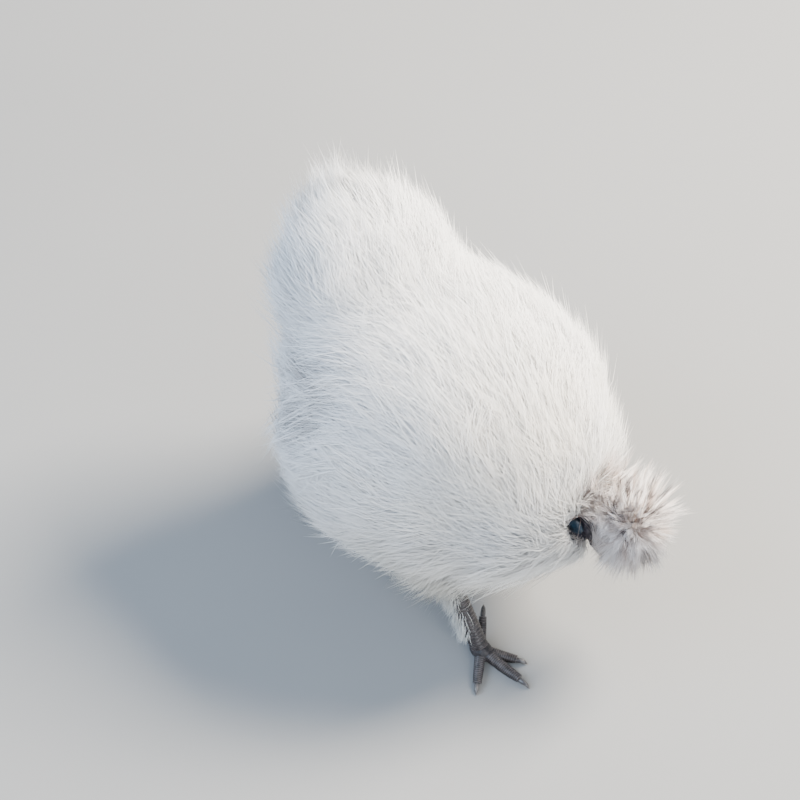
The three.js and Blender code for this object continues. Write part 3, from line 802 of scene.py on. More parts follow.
# All strands as lines of three points, with their normals, widths and roots, the form that owns each, and
# what colours them
def strands(lie, roots, per, rise_share, long_share):
    line, normals, index, style = guides(lie, roots)
    count = len(roots)
    spot = np.repeat(np.arange(count), per)
    radius = style["clump"][spot] * SPREAD
    angle = rng.random(len(spot)) * 2 * math.pi
    out = np.sqrt(rng.random(len(spot))) * radius
    side = unit(np.cross(normals[:, 0], line[:, 1] - line[:, 0]))[spot]
    ahead = unit(line[:, 1] - line[:, 0])[spot]
    offset = side * (np.cos(angle) * out)[:, None] + ahead * (np.sin(angle) * out)[:, None]
    tuft = rng.random(count)
    rise = style["rise"][spot] * rng.uniform(*rise_share, len(spot))
    mass = np.array([noise.noise(Vector(p / MASS_SIZE)) for p in roots])
    rise = rise * (CLUMP_RISE[0] + CLUMP_RISE[1] * rng.random(count) + MASS * mass)[spot]
    stray = rng.random(len(spot)) < STRAY_SHARE
    rise = np.where(stray, rise * STRAY_RISE, rise)
    reach = rng.uniform(*long_share, len(spot)) * (CLUMP_LONG[0] + CLUMP_LONG[1] * rng.random(count)[spot])
    ragged = lie.ragged[index]
    reach = np.minimum(reach * (1 + ragged * rng.uniform(-0.5, 0.2, count))[spot], 1.2)
    close = style["close"][spot]
    neat = 1 - NEAT * np.maximum(lie.wisp, lie.ragged)[index][spot]
    twist = rng.normal(0, 1.0, (len(spot), 3)) * (np.where(stray, STRAY_TWIST, 1.0) * neat)[:, None]
    points, lean = [], []
    for k, at in enumerate(STRAND_AT):
        t = at * reach
        low = np.minimum((t * STEPS).astype(int), STEPS - 1)
        w = (t * STEPS - low)[:, None]
        middle = line[spot, low] * (1 - w) + line[spot, low + 1] * w
        normal = unit(normals[spot, low] * (1 - w) + normals[spot, low + 1] * w)
        if k == 0:
            root = middle + offset
            under = lie.nearest(root)
            normal = lie.normal[under]
            points.append(lie.onto(root, under) - normal * SINK)
        else:
            gather = (1 - close * at**1.3)[:, None]
            lift = (RISE_AT[k] * rise)[:, None]
            points.append(middle + offset * gather + normal * lift + twist * TWIST_AT[k])
        lean.append(normal)
    lines = np.stack(points, 1)
    lines, shown = clear_face(lines, lie.crested[index][spot])
    shown &= rng.random(count)[spot] > RAGGED_THIN * ragged[spot]
    for at, way, s in bare_sides():
        out, off = before_bare(lines, at, way, s)
        free = rng.uniform(*BARE_EDGE, len(lines)) * BARE_RADIUS
        shown &= ~((out > -BARE_DEEP) & (out < BARE_BEFORE) & (off < free[:, None])).any(1)
    return dict(
        line=lines[shown],
        normal=np.stack(lean, 1)[shown],
        wide=(style["wide"][spot] * rng.uniform(0.75, 1.25, len(spot)))[shown],
        tuft=np.repeat(tuft, per)[shown],
        soil=np.where(lie.crested, lie.wisp, lie.soil)[index][spot][shown],
        main=lie.main[index][spot][shown],
        root=lie.root[under][shown],
    )


# Faces of one strand: rings of three points and a tip, its root closed
def strand_faces(rings):
    faces = [(2, 1, 0)]
    for r in range(rings - 1):
        for k in range(3):
            a, b = 3 * r + k, 3 * r + (k + 1) % 3
            faces += [(a, b, b + 3), (a, b + 3, a + 3)]
    last = 3 * (rings - 1)
    return np.array(faces + [(last + k, last + (k + 1) % 3, last + 3) for k in range(3)])


# One closed mesh of many strands, each a thin three-sided blade that tapers to its tip
def strand_mesh(name, made, keep):
    line, normal = made["line"][keep], made["normal"][keep]
    count, rings = len(line), line.shape[1] - 1
    size = 3 * rings + 1
    share = np.append(np.repeat(STRAND_AT[:rings], 3), 1.0)
    points = np.zeros((count, size, 3))
    shade = np.zeros((count, size, 3))
    for r in range(rings):
        ahead = unit(line[:, r + 1] - line[:, max(r - 1, 0)])
        side = unit(np.cross(normal[:, r], ahead))
        top = np.cross(ahead, side)
        wide = (made["wide"][keep] * TAPER[r])[:, None]
        for k, (x, z) in enumerate(SECTION):
            push = side * x * wide + top * z * wide
            points[:, r * 3 + k] = line[:, r] + push
            shade[:, r * 3 + k] = unit(normal[:, r] * SOFT + unit(push) * (1 - SOFT))
    points[:, -1] = line[:, -1]
    shade[:, -1] = normal[:, -1]
    faces = (strand_faces(rings)[None] + np.arange(count)[:, None, None] * size).reshape(-1, 3)
    mesh = bpy.data.meshes.new(name)
    mesh.vertices.add(count * size)
    mesh.vertices.foreach_set("co", placed(points.reshape(-1, 3)).astype(np.float32).ravel())
    mesh.loops.add(len(faces) * 3)
    mesh.loops.foreach_set("vertex_index", faces.astype(np.int32).ravel())
    mesh.polygons.add(len(faces))
    mesh.polygons.foreach_set("loop_start", np.arange(0, len(faces) * 3, 3, dtype=np.int32))
    mesh.polygons.foreach_set("use_smooth", np.ones(len(faces), bool))
    mesh.update(calc_edges=True)
    for key, shares in (
        ("along", np.tile(share, count)),
        ("tuft", np.repeat(made["tuft"][keep], size)),
        ("soil", np.repeat(made["soil"][keep], size)),
    ):
        mark(mesh, key, shares)
    patch = np.stack([share, np.tile([0.0, 1.0, 0.5], 3)[:size]], 1) * PATCH
    place = (made["root"][keep][:, None] + patch[None]).reshape(-1, 2)[faces.ravel()]
    uv = mesh.uv_layers.new(name="OFBake")
    uv.data.foreach_set("uv", place.astype(np.float32).ravel())
    mesh.normals_split_custom_set_from_vertices(shade.reshape(-1, 3).astype(np.float32))
    return mesh


# The coat: two layers of strands over the skin, in pieces that each stand for one node of the part
def make_coat(skin, lie):
    names = list(forms)
    pieces = []
    total = 0
    for layer, (clumps, per, points_kept, rise, long) in LAYERS.items():
        roots = clump_roots(skin, lie, clumps // QUICK_SHARE)
        made = strands(lie, roots, per, rise, long)
        made["line"], made["normal"] = made["line"][:, points_kept], made["normal"][:, points_kept]
        size = len(strand_faces(len(points_kept) - 1))
        total += len(made["line"]) * size
        for node in FLESH:
            owners = [names.index(name) for name in OWNERS.get(node, (node,))]
            mine = np.flatnonzero(np.isin(made["main"], owners))
            if not len(mine):
                continue
            label = f"{layer}_{'body' if node == 'torso' else node}"
            parts = math.ceil(len(mine) * size / LIMIT)
            mine = mine[np.argsort(made["line"][mine, 0, 0], kind="stable")]
            for i, chunk in enumerate(np.array_split(mine, parts)):
                name = f"{label}_{i + 1}" if parts > 1 else label
                pieces.append((new_object(name, strand_mesh(name, made, chunk)), node))
    print("coat", total, "triangles")
    return pieces


# Feathers down the outer side of each shank, short and soft
def leg_feathers(side):
    s = SIDES[side]
    hock, foot = np.array(HOCKS[side], float), np.array(BALLS[side], float)
    count = LEG_ROOTS * LEG_PER
    clump = np.repeat(np.arange(LEG_ROOTS), LEG_PER)
    t = (0.02 + 0.7 * rng.random(LEG_ROOTS))[clump] + rng.normal(0, 0.035, count)
    turn = rng.normal(0, 0.4, LEG_ROOTS)[clump] + rng.normal(0, 0.3, count)
    down = unit(foot - hock)
    ahead = unit(np.array([1.0, 0.0, 0.0]) - down * down[0])
    outer = np.cross(down, ahead) * s
    outer = outer * (1 if outer[1] * s > 0 else -1)
    normal = unit(outer * np.cos(turn + 0.45)[:, None] - ahead * np.sin(turn + 0.45)[:, None])
    ground = hock + (foot - hock) * t[:, None] + normal * (SHANK_RADIUS - 0.8)
    long = (LEG_LONG * (1 - 0.3 * t) * rng.uniform(0.6, 1.2, count))[:, None]
    lean = unit(down * 0.85 + normal * 0.5 - ahead * 0.12 + rng.normal(0, 0.16, (count, 3)))
    line = [ground]
    for share in STRAND_AT[1:]:
        bend = normal * 0.25 * math.sin(share * 2.2)
        untidy = rng.normal(0, 0.35 * share, (count, 3))
        line.append(ground + lean * long * share + bend * long * 0.6 + untidy)
    points = np.stack(line, 1)
    points[..., 2] = np.maximum(points[..., 2], 1.5)
    return dict(
        line=points,
        normal=np.repeat(normal[:, None], len(STRAND_AT), 1),
        wide=rng.uniform(0.2, 0.34, count),
        tuft=rng.random(LEG_ROOTS)[clump],
        soil=np.zeros(count),
        root=np.stack([0.1 + 0.8 * (turn + math.pi) / (2 * math.pi), 0.1 + 0.8 * t], 1),
    )


# Head and legs: finer surfaces over the part's own nodes
def copy_of(nodes, name):
    copies = []
    for node in nodes:
        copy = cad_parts[node].copy()
        copy.data = copy.data.copy()
        copy.parent = None
        for key in list(copy.keys()):
            del copy[key]
        bpy.context.scene.collection.objects.link(copy)
        copies.append(copy)
    return joined(copies, name)


def joined(pieces, name):
    bpy.ops.object.select_all(action="DESELECT")
    for piece in pieces:
        piece.hide_viewport = False
        piece.hide_render = False
        piece.select_set(True)
    bpy.context.view_layer.objects.active = pieces[0]
    if len(pieces) > 1:
        bpy.ops.object.join()
    whole = bpy.context.view_layer.objects.active
    whole.name = name
    whole.data.name = name
    bpy.ops.object.mode_set(mode="EDIT")
    bpy.ops.mesh.select_all(action="SELECT")
    bpy.ops.mesh.remove_doubles(threshold=1e-5)
    bpy.ops.object.mode_set(mode="OBJECT")
    whole.select_set(False)
    return whole


# A closed tube along a ring of points
def ring_tube(name, points, radii, sides=8):
    points = np.asarray(points, float)
    count = len(points)
    ahead = unit(np.roll(points, -1, 0) - np.roll(points, 1, 0))
    verts, faces = [], []
    for i in range(count):
        a = points[i] - points.mean(0)
        a = a - ahead[i] * np.dot(a, ahead[i])
        a = a / np.linalg.norm(a)
        b = np.cross(ahead[i], a)
        for k in range(sides):
            turn = 2 * math.pi * k / sides
            verts.append(points[i] + (a * math.cos(turn) + b * math.sin(turn)) * radii[i])
    for i in range(count):
        j = (i + 1) % count
        for k in range(sides):
            l = (k + 1) % sides
            faces.append((i * sides + k, i * sides + l, j * sides + l, j * sides + k))
    return new_object(name, new_mesh(name, placed(verts), faces))


# The lids' rim round each eye, a little longer than high
def lid(side):
    s = SIDES[side]
    turn = np.linspace(0, 2 * math.pi, 32, endpoint=False)
    radius = EYE_RADIUS * 0.86
    x = EYE_AT[0] + radius * 1.06 * np.cos(turn)
    z = EYE_AT[2] + radius * 0.84 * np.sin(turn)
    inside = np.hypot(x - EYE_AT[0], z - EYE_AT[2])
    y = s * (EYE_AT[1] + np.sqrt(np.maximum(EYE_RADIUS**2 - inside**2, 1.0)) * 0.98)
    points = [head_point(*p) for p in zip(x, y, z)]
    return ring_tube(f"lid_{side}", points, LID_RADIUS * (1 + 0.25 * np.sin(turn)))


# One scute: a curved plate that faces along x, lies along z and rises to its front edge
def scute_plate():
    verts, faces = [], []
    for layer in range(2):
        for j in range(SCUTE_ROWS):
            t = j / (SCUTE_ROWS - 1)
            for i in range(SCUTE_STEPS):
                a = (2 * i / (SCUTE_STEPS - 1) - 1) * SCUTE_ARC
                edge = 1 - abs(a / SCUTE_ARC) ** 4
                radius = (1.0 + 0.17 * t * edge + 0.02 * edge) if layer else 0.86
                along_z = (t * (0.8 + 0.2 * edge) - 0.1) * SCUTE_LONG
                verts.append((radius * math.cos(a), radius * math.sin(a), along_z))
    block = SCUTE_STEPS * SCUTE_ROWS
    for j in range(SCUTE_ROWS - 1):
        for i in range(SCUTE_STEPS - 1):
            a = j * SCUTE_STEPS + i
            faces.append((a + block, a + block + 1, a + block + 1 + SCUTE_STEPS, a + block + SCUTE_STEPS))
            faces.append((a, a + SCUTE_STEPS, a + SCUTE_STEPS + 1, a + 1))
    rim = list(range(SCUTE_STEPS))
    rim += [j * SCUTE_STEPS + SCUTE_STEPS - 1 for j in range(1, SCUTE_ROWS)]
    rim += [(SCUTE_ROWS - 1) * SCUTE_STEPS + i for i in range(SCUTE_STEPS - 2, -1, -1)]
    rim += [j * SCUTE_STEPS for j in range(SCUTE_ROWS - 2, 0, -1)]
    for a, b in zip(rim, rim[1:] + rim[:1]):
        faces.append((a, b, b + block, a + block))
    mesh = new_mesh("scute_plate", verts, faces)
    mark(mesh, "front", [float(i % block >= block - SCUTE_STEPS) for i in range(len(verts))])
    smooth_shaded(mesh)
    return bpy.data.objects.new("scute_plate", mesh)


# A row of plates along a line of points, facing one way and growing smaller to its end
def scute_tree():
    tree = bpy.data.node_groups.new("scute_row", "GeometryNodeTree")
    sockets = {}
    for label, kind in (
        ("Path", "NodeSocketGeometry"),
        ("Plate", "NodeSocketObject"),
        ("Finish", "NodeSocketMaterial"),
        ("Count", "NodeSocketInt"),
        ("Root Size", "NodeSocketFloat"),
        ("Tip Size", "NodeSocketFloat"),
        ("Facing", "NodeSocketVector"),
    ):
        sockets[label] = tree.interface.new_socket(label, in_out="INPUT", socket_type=kind).identifier
    tree.interface.new_socket("Scutes", in_out="OUTPUT", socket_type="NodeSocketGeometry")
    n = Nodes(tree)
    given = n.add("NodeGroupInput").outputs
    line = n.add("GeometryNodeMeshToCurve")
    n.link(given["Path"], line.inputs[0])
    even = n.add("GeometryNodeResampleCurve")
    n.link(line.outputs[0], even.inputs["Curve"])
    n.link(given["Count"], even.inputs["Count"])
    along_line = n.add("FunctionNodeAlignRotationToVector", axis="Z")
    n.link(n.add("GeometryNodeInputTangent").outputs[0], along_line.inputs["Vector"])
    outward = n.add("FunctionNodeAlignRotationToVector", axis="X", pivot_axis="Z")
    n.link(along_line.outputs[0], outward.inputs["Rotation"])
    n.link(given["Facing"], outward.inputs["Vector"])
    size = n.add("ShaderNodeMapRange")
    n.link(n.add("GeometryNodeSplineParameter").outputs["Factor"], size.inputs["Value"])
    n.link(given["Root Size"], size.inputs["To Min"])
    n.link(given["Tip Size"], size.inputs["To Max"])
    plate = n.add("GeometryNodeObjectInfo", transform_space="ORIGINAL")
    n.link(given["Plate"], plate.inputs["Object"])
    row = n.add("GeometryNodeInstanceOnPoints")
    n.link(even.outputs[0], row.inputs["Points"])
    n.link(plate.outputs["Geometry"], row.inputs["Instance"])
    n.link(outward.outputs[0], row.inputs["Rotation"])
    n.link(size.outputs["Result"], row.inputs["Scale"])
    real = n.add("GeometryNodeRealizeInstances")
    n.link(row.outputs[0], real.inputs[0])
    finish = n.add("GeometryNodeSetMaterial")
    n.link(real.outputs[0], finish.inputs["Geometry"])
    n.link(given["Finish"], finish.inputs["Material"])
    n.link(finish.outputs[0], n.add("NodeGroupOutput").inputs[0])
    return tree, sockets


def scute_row(name, points, sizes, count, facing, plate, finish):
    path = bpy.data.meshes.new(name)
    path.from_pydata([tuple(p) for p in placed(points)], [(i, i + 1) for i in range(len(points) - 1)], [])
    row = new_object(name, path)
    modifier = row.modifiers.new("scutes", "NODES")
    modifier.node_group = SCUTE_TREE
    for label, value in (
        ("Plate", plate),
        ("Finish", finish),
        ("Count", count),
        ("Root Size", sizes[0] * MM),
        ("Tip Size", sizes[1] * MM),
        ("Facing", tuple(facing)),
    ):
        modifier[SCUTE_SOCKETS[label]] = value
    return applied(row)


# The line of a toe's spine and the way it heads
def toe_line(side, toe):
    turn, long, radius, lift = TOES[toe]
    pad = np.array(BALLS[side], float)
    angle = FOOT_YAW[side] + math.radians(turn) * -SIDES[side]
    ahead = np.array([math.cos(angle), math.sin(angle), 0.0])
    root = np.array([*pad[:2], radius + (TOE_LIFTED if lift else TOE_LOW)])
    tip = np.array([*(pad + ahead * long)[:2], radius * TOE_TIP - FLAT + lift])
    middle = (root + tip) / 2
    middle[2] = radius * 0.9 - FLAT + lift * 0.3
    return [tuple(root), tuple(middle), tuple(tip)], ahead, radius


# Shank, pad and toes, without the solids' coarse tufts
def leg(side):
    hock, pad = np.array(HOCKS[side], float), np.array(BALLS[side], float)
    forward = np.array([PAD[0], 0, 0])
    shapes = [
        Form([hock, pad], SHANK_RADIUS, full=0.3, above=(1, 0, 0)),
        Form([pad - forward, pad, pad + forward], PAD[1], PAD[2], full=1),
    ]
    for toe in TOES:
        spine, _, radius = toe_line(side, toe)
        shapes.append(Form(spine, [(0, radius), (0.45, radius * 0.84), (1, radius * TOE_TIP)], full=0.35))
    whole = fused(shells(f"leg_{side}", shapes, [LEG_GRID] * len(shapes)), LEG_VOXEL, 3)
    points = read(whole.data)
    points[:, 2] = np.maximum(points[:, 2], 0.1 * MM)
    write(whole.data, points)
    return whole


def scutes_of(side, plate, finish):
    rows = []
    for toe in TOES:
        spine, _, radius = toe_line(side, toe)
        points = on_curve(spine, np.linspace(0.2, 0.93, 12))
        count = int(TOES[toe][1] / TOE_SCUTES_APART)
        sizes = (radius * 0.94, radius * 0.76)
        rows.append(scute_row(f"row_{toe}", points, sizes, count, UP, plate, finish))
    hock, foot = np.array(HOCKS[side], float), np.array(BALLS[side], float)
    ends = [hock * (1 - t) + foot * t for t in (0.02, 0.5, 0.9)]
    for i, share in enumerate(SHANK_ROWS):
        turn = math.radians(14 + 120 * i) * SIDES[side]
        facing = (math.cos(turn), math.sin(turn), 0)
        size = [SHANK_RADIUS * share] * 2
        rows.append(scute_row(f"row_shank_{i}", ends, size, SHANK_SCUTES, facing, plate, finish))
    return joined(rows, f"scutes_{side}")


def claw(side, toe):
    spine, ahead, _ = toe_line(side, toe)
    tip, lift, reach = np.array(spine[-1]), TOES[toe][3], ahead * CLAWS[toe]
    sharp = tip + reach
    sharp[2] = max(0.7, tip[2] - 2.5 + lift * 0.2)
    form = Form([tip - ahead * 2.5, tip + reach * 0.5 + UP * 0.5, sharp], CLAW_RADII, full=0.6)
    at, _, _ = form.grid(*CLAW_GRID)
    at[:, 2] = np.maximum(at[:, 2], 0.15)
    nail = new_object(f"nail_{side}_{toe}", new_mesh("nail", placed(at), grid_faces(*CLAW_GRID, 0)))
    smooth_shaded(nail.data)
    return nail


# Small folds pushed out of a surface by layered noise
def wrinkled(piece, high, size):
    mesh = piece.data
    points = read(mesh) / MM
    normal = read(mesh, "normal")
    push = np.array([noise.fractal(Vector(p / size), 0.8, 2.1, 3) for p in points])
    write(mesh, (points + normal * (push * high)[:, None]) * MM)
    return piece


def eye(side):
    s = SIDES[side]
    bpy.ops.mesh.primitive_uv_sphere_add(segments=48, ring_count=32, radius=EYE_RADIUS * MM)
    ball = bpy.context.object
    ball.name = f"eyeball_{side}"
    ball.data.name = ball.name
    points = read(ball.data)
    gaze = unit(HEAD @ np.array([0.16, s * 1.0, 0.06]))
    facing = (unit(points) @ gaze).astype(np.float32)
    mark(ball.data, "facing", facing)
    bulge = np.maximum(facing - 0.86, 0)[:, None] * 1.6 * MM
    centre = placed([head_point(EYE_AT[0], s * EYE_AT[1], EYE_AT[2])])[0]
    write(ball.data, points + gaze * bulge + centre)
    smooth_shaded(ball.data)
    return ball


# Materials
def group_of(name, inputs, outputs):
    tree = bpy.data.node_groups.new(name, "ShaderNodeTree")
    for label, kind, value in inputs:
        socket = tree.interface.new_socket(label, in_out="INPUT", socket_type=kind)
        if value is not None:
            socket.default_value = value
    for label, kind in outputs:
        tree.interface.new_socket(label, in_out="OUTPUT", socket_type=kind)
    return tree


class Nodes:
    def __init__(self, tree):
        self.tree = tree

    def add(self, kind, **values):
        node = self.tree.nodes.new(kind)
        for key, value in values.items():
            setattr(node, key, value)
        return node

    def link(self, a, b):
        self.tree.links.new(a, b)

    # Gives a socket a number, a colour or the output of another node
    def give(self, value, socket):
        if isinstance(value, (int, float, tuple)):
            socket.default_value = value
        else:
            self.link(value, socket)

    def place(self):
        return self.add("ShaderNodeTexCoord").outputs["Object"]

    def attribute(self, key):
        return self.add("ShaderNodeAttribute", attribute_type="GEOMETRY", attribute_name=key).outputs["Fac"]

    def maths(self, operation, a, b):
        node = self.add("ShaderNodeMath", operation=operation)
        self.give(a, node.inputs[0])
        self.give(b, node.inputs[1])
        return node.outputs[0]

    def noise(self, place, scale, detail=3.0, rough=0.5, stretch=None):
        node = self.add("ShaderNodeTexNoise")
        node.inputs["Detail"].default_value = detail
        node.inputs["Roughness"].default_value = rough
        self.give(scale, node.inputs["Scale"])
        if stretch:
            turn = self.add("ShaderNodeMapping")
            turn.inputs["Scale"].default_value = stretch
            self.link(place, turn.inputs["Vector"])
            place = turn.outputs["Vector"]
        self.link(place, node.inputs["Vector"])
        return node.outputs["Fac"]

    def range(self, value, low, high, to_low=0.0, to_high=1.0):
        node = self.add("ShaderNodeMapRange", interpolation_type="SMOOTHSTEP")
        self.link(value, node.inputs["Value"])
        for key, number in zip(("From Min", "From Max", "To Min", "To Max"), (low, high, to_low, to_high)):
            node.inputs[key].default_value = number
        return node.outputs["Result"]

    def mix(self, share, a, b):
        node = self.add("ShaderNodeMix", data_type="RGBA")
        self.give(share, node.inputs["Factor"])
        self.give(a, node.inputs["A"])
        self.give(b, node.inputs["B"])
        return node.outputs["Result"]

    def bump(self, height, strength, depth, shader):
        node = self.add("ShaderNodeBump")
        node.inputs["Strength"].default_value = strength
        node.inputs["Distance"].default_value = depth * MM
        self.link(height, node.inputs["Height"])
        self.link(node.outputs["Normal"], shader.inputs["Normal"])


# Plumage tone: white that turns warm on the neck and back and darker olive-grey low on the belly near the
# floor
def plumage_group():
    inputs = [(key, "NodeSocketFloat", 0.5) for key in ("Along", "Tuft")]
    inputs += [(key, "NodeSocketColor", tone) for key, tone in PLUMAGE_TONES.items()]
    outputs = [("Color", "NodeSocketColor"), ("Roughness", "NodeSocketFloat")]
    tree = group_of("plumage_tone", inputs, outputs)
    n = Nodes(tree)
    given = n.add("NodeGroupInput").outputs
    out = n.add("NodeGroupOutput").inputs
    place = n.place()
    apart = n.add("ShaderNodeSeparateXYZ")
    n.link(place, apart.inputs[0])
    wide = n.noise(place, 14.0, 3.0)
    fine = n.noise(place, 90.0, 2.0)
    # Warm towards the front, darker olive-grey near the floor, and greyer at each feather's root as painted
    # shade
    front = n.range(apart.outputs["X"], -0.10, 0.09)
    warm = n.maths("MULTIPLY", front, n.range(wide, 0.32, 0.68, 0.35, 1.0))
    colour = n.mix(n.maths("MULTIPLY", warm, 0.75), given["White"], given["Warm"])
    low = n.range(apart.outputs["Z"], 0.135, 0.055)
    floorward = n.maths("MULTIPLY", low, n.range(wide, 0.3, 0.7, 0.3, 1.0))
    colour = n.mix(n.maths("MULTIPLY", floorward, 0.75), colour, given["Dusty"])
    # Greyer and cooler towards each feather's root: painted shade deep in the coat
    shade = n.range(given["Along"], 0.75, 0.0, 0.0, 0.55)
    colour = n.mix(shade, colour, given["Root"])
    bright = n.maths("ADD", n.maths("MULTIPLY", given["Tuft"], 0.06), n.maths("MULTIPLY", fine, 0.06))
    bright = n.maths("ADD", bright, 0.94)
    scaled = n.add("ShaderNodeVectorMath", operation="SCALE")
    n.link(colour, scaled.inputs[0])
    n.link(bright, scaled.inputs["Scale"])
    n.link(scaled.outputs[0], out["Color"])
    n.link(n.range(fine, 0.3, 0.7, 0.62, 0.8), out["Roughness"])
    return tree


# Skin grain: small pits and folds as a height, and a mask of the furrows, where the darker colour is
# painted shade
def grain_group():
    tree = group_of(
        "skin_grain",
        [("Size", "NodeSocketFloat", 600.0), ("Fold", "NodeSocketFloat", 0.5)],
        [("Height", "NodeSocketFloat"), ("Furrow", "NodeSocketFloat")],
    )
    n = Nodes(tree)
    given = n.add("NodeGroupInput").outputs
    out = n.add("NodeGroupOutput").inputs
    place = n.place()
    cells = n.add("ShaderNodeTexVoronoi", feature="DISTANCE_TO_EDGE")
    n.link(place, cells.inputs["Vector"])
    n.link(given["Size"], cells.inputs["Scale"])
    folds = n.noise(place, n.maths("MULTIPLY", given["Size"], 0.45), 4.0)
    bumps = n.range(cells.outputs["Distance"], 0.0, 0.25)
    fold = n.range(folds, 0.38, 0.62)
    height = n.maths("ADD", n.maths("MULTIPLY", bumps, 0.5), n.maths("MULTIPLY", fold, given["Fold"]))
    furrow = n.maths("MULTIPLY", n.range(fold, 0.45, 0.0), n.range(bumps, 1.0, 0.2, 0.4, 1.0))
    n.link(height, out["Height"])
    n.link(furrow, out["Furrow"])
    return tree


PLUMAGE = plumage_group()
GRAIN = grain_group()


def material(name, **constants):
    made = bpy.data.materials.new(name)
    made.use_nodes = True
    shader = made.node_tree.nodes["Principled BSDF"]
    for key, value in constants.items():
        shader.inputs[key.replace("_", " ").title().replace("Ior", "IOR")].default_value = value
    return made, Nodes(made.node_tree), shader


# White feathers: strands shaded along their own length, or the skin under them, which is fixed at one share
# of a feather's length and turns dark where it is bare
def feather(name, fixed=None):
    made, n, shader = material(name, **SHEEN)
    tone = n.add("ShaderNodeGroup")
    tone.node_tree = PLUMAGE
    soil_and_shade_share = n.attribute("soil")
    if fixed is None:
        along_strand = n.attribute("along")
        n.link(along_strand, tone.inputs["Along"])
        n.link(n.attribute("tuft"), tone.inputs["Tuft"])
        soil_and_shade_share = n.maths("MULTIPLY", soil_and_shade_share, n.range(along_strand, 0.85, 0.1))
    else:
        tone.inputs["Along"].default_value = fixed
    # Brown towards the roots over the wing ends and near the crest, and painted shadow round the bare skin
    colour = n.mix(soil_and_shade_share, tone.outputs["Color"], SOIL_AND_SHADE)
    if fixed is not None:
        colour = n.mix(n.attribute("bare"), colour, FACE_DARK)
    n.link(colour, shader.inputs["Base Color"])
    n.link(tone.outputs["Roughness"], shader.inputs["Roughness"])
    return made


# Crest feathers: brown at the root, pale at the tip, with a dark streak on a few clumps
def crest_feather(name):
    made, n, shader = material(name, **SHEEN)
    along_strand = n.attribute("along")
    tip = n.range(along_strand, 0.05, 0.8)
    tuft = n.attribute("tuft")
    patch = n.noise(n.place(), 60.0)
    inner = n.mix(n.range(patch, 0.35, 0.65), (0.16, 0.10, 0.08, 1), (0.40, 0.29, 0.25, 1))
    outer = n.mix(n.range(tuft, 0.0, 0.45), (0.42, 0.33, 0.29, 1), (0.90, 0.84, 0.81, 1))
    outer = n.mix(n.range(patch, 0.5, 0.7, 0.0, 0.5), outer, (0.55, 0.43, 0.33, 1))
    colour = n.mix(tip, inner, outer)
    marked = n.maths("ADD", tuft, n.maths("MULTIPLY", n.attribute("soil"), 0.22))
    streak = n.maths("MULTIPLY", n.range(marked, 0.95, 0.96), n.range(along_strand, 1.05, 0.75))
    n.link(n.mix(streak, colour, (0.05, 0.035, 0.035, 1)), shader.inputs["Base Color"])
    n.link(n.range(patch, 0.3, 0.7, 0.6, 0.8), shader.inputs["Roughness"])
    return made


# Bare skin with a grain of pits and folds, in two tones with darker furrows that are painted shade
def fleshy(name, dark, light, furrow, rough, size, fold, depth, coat, edge=None):
    made, n, shader = material(name, coat_weight=coat)
    grain = n.add("ShaderNodeGroup")
    grain.node_tree = GRAIN
    grain.inputs["Size"].default_value = size
    grain.inputs["Fold"].default_value = fold
    patch = n.noise(n.place(), size * 0.25)
    colour = n.mix(n.range(patch, 0.35, 0.65), dark, light)
    colour = n.mix(n.maths("MULTIPLY", grain.outputs["Furrow"], 0.8), colour, furrow)
    # Paler front edges of the scutes, in patches: a painted highlight where the raised rims catch the light
    if edge:
        edge_glint = n.range(patch, 0.3, 0.6, 0.4, 1.0)
        edge_glint = n.maths("MULTIPLY", n.range(n.attribute("front"), 0.55, 1.0), edge_glint)
        colour = n.mix(edge_glint, colour, edge)
    n.link(colour, shader.inputs["Base Color"])
    n.link(n.range(grain.outputs["Height"], 0.2, 1.0, rough + 0.15, rough), shader.inputs["Roughness"])
    n.bump(grain.outputs["Height"], 0.62, depth, shader)
    return made


# Horn of bill and claws: streaks along the growth
def horn(name, dark, light, stretch):
    made, n, shader = material(name, coat_weight=0.25, coat_roughness=0.2)
    streak = n.noise(n.place(), 420.0, 3.0, 0.6, stretch)
    n.link(n.mix(n.range(streak, 0.35, 0.65), dark, light), shader.inputs["Base Color"])
    n.link(n.range(streak, 0.3, 0.7, 0.28, 0.45), shader.inputs["Roughness"])
    n.bump(streak, 0.4, 0.12, shader)
    return made


def eye_finish():
    made, n, shader = material("eye_dark", coat_weight=1.0, coat_roughness=0.03)
    facing = n.attribute("facing")
    rays = n.noise(n.place(), 900.0)
    iris = n.mix(n.range(rays, 0.3, 0.7), (0.035, 0.018, 0.012, 1), (0.09, 0.045, 0.025, 1))
    pupil = n.range(facing, 0.83, 0.87)
    white = n.range(facing, 0.52, 0.46)
    colour = n.mix(pupil, iris, (0.004, 0.004, 0.005, 1))
    colour = n.mix(white, colour, (0.02, 0.02, 0.025, 1))
    n.link(colour, shader.inputs["Base Color"])
    n.link(n.range(rays, 0.3, 0.7, 0.08, 0.14), shader.inputs["Roughness"])
    return made


def floor_finish():
    made, n, shader = material("floor_pale")
    cloud = n.noise(n.place(), 3.0, 4.0)
    n.link(n.mix(cloud, (0.24, 0.24, 0.235, 1), (0.275, 0.275, 0.27, 1)), shader.inputs["Base Color"])
    n.link(n.range(cloud, 0.3, 0.7, 0.75, 0.85), shader.inputs["Roughness"])
    return made


def finished(piece, finish, slot, *nodes):
    piece.data.materials.clear()
    piece.data.materials.append(finish)
    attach(piece, "root")
    if nodes:
        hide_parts(*nodes)
    return piece


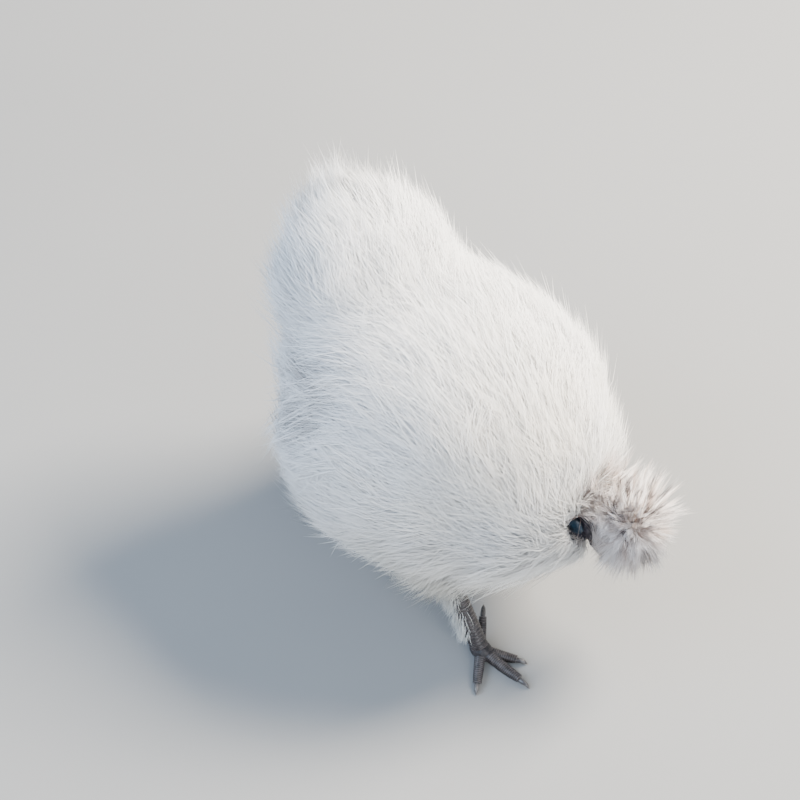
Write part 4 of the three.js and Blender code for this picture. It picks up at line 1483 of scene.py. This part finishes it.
# The hen
white = feather("feather_white")
crest_tone = crest_feather("feather_crest")
under = feather("skin_down", fixed=DOWN_ALONG)
skins = {name: fleshy(name, **values) for name, values in SKINS.items()}
SCUTE_TREE, SCUTE_SOCKETS = scute_tree()
plate = scute_plate()
bill_horn = horn("bill_horn", (0.045, 0.05, 0.065, 1), (0.11, 0.12, 0.14, 1), (1, 1, 0.2))
claw_horn = horn("claw_horn", (0.05, 0.045, 0.045, 1), (0.13, 0.12, 0.115, 1), (0.3, 1, 1))

skin = make_skin()
lie = Lie(skin)
finished(skin, under, "body_feathers", *FLESH)
for piece, node in make_coat(skin, lie):
    if node == "crest":
        finished(piece, crest_tone, "crest_feathers", node)
    else:
        finished(piece, white, "body_feathers", node)

face = copy_of(FACE_NODES, "face")
face = joined([face, lid("right"), lid("left")], "face")
wrinkled(fused(face, FACE_VOXEL, 3), 0.35, 2.6)
finished(face, skins["face_skin"], "face_skin", *FACE_NODES)
for side in SIDES:
    lobe = wrinkled(fused(copy_of([f"ear_lobe_{side}"], f"lobe_{side}"), LOBE_VOXEL, 4), 0.2, 2.2)
    finished(lobe, skins["ear_lobe_skin"], "ear_lobe", f"ear_lobe_{side}")
    finished(eye(side), eye_finish(), "eye", f"eye_{side}")
    tufts = leg_feathers(side)
    coat = strand_mesh(f"coat_leg_{side}", tufts, np.arange(len(tufts["line"])))
    finished(new_object(f"coat_leg_{side}", coat), white, "body_feathers")
    finished(leg(side), skins["leg_skin"], "leg_skin", f"shank_{side}", f"foot_{side}")
    for toe in TOES:
        finished(claw(side, toe), claw_horn, "claw", f"claw_{side}_{toe}")
    finished(scutes_of(side, plate, skins["scute_skin"]), skins["scute_skin"], "leg_skin")
for half in ("upper", "lower"):
    node = f"beak_{half}"
    finished(fused(copy_of([node], f"bill_{half}"), BILL_VOXEL, 4), bill_horn, "bill", node)


# Floor, light and camera
def make_floor():
    corners = [(x * FLOOR_HALF, y * FLOOR_HALF, 0) for x, y in ((-1, -1), (1, -1), (1, 1), (-1, 1))]
    floor = new_object("floor", new_mesh("floor", corners, [(0, 1, 2, 3)]))
    floor.data.materials.append(floor_finish())


def area_light(name, at, power, size, colour):
    light = bpy.data.lights.new(name, "AREA")
    light.energy = power
    light.size = size
    light.color = colour
    lamp = bpy.data.objects.new(name, light)
    lamp.location = at
    lamp.rotation_euler = (Vector(LIT_AT) - Vector(at)).to_track_quat("-Z", "Y").to_euler()
    bpy.context.scene.collection.objects.link(lamp)


def make_world():
    world = bpy.data.worlds.new("studio")
    world.use_nodes = True
    background = world.node_tree.nodes["Background"].inputs
    background["Color"].default_value = WORLD_TONE
    background["Strength"].default_value = WORLD_STRENGTH
    bpy.context.scene.world = world


def make_camera():
    target = Vector(CAMERA_TARGET) + Vector(SHIFT)
    back = Vector(CAMERA_WAY).normalized()
    camera = bpy.data.cameras.new("camera")
    camera.lens = CAMERA_LENS
    camera.sensor_width = CAMERA_SENSOR
    camera.shift_x, camera.shift_y = CAMERA_SHIFT
    holder = bpy.data.objects.new("camera", camera)
    holder.location = (target + back * CAMERA_AWAY) * MM
    holder.rotation_euler = (-back).to_track_quat("-Z", "Y").to_euler()
    bpy.context.scene.collection.objects.link(holder)
    bpy.context.scene.camera = holder


make_floor()
for name, values in LIGHTS.items():
    area_light(name, *values)
make_world()
make_camera()
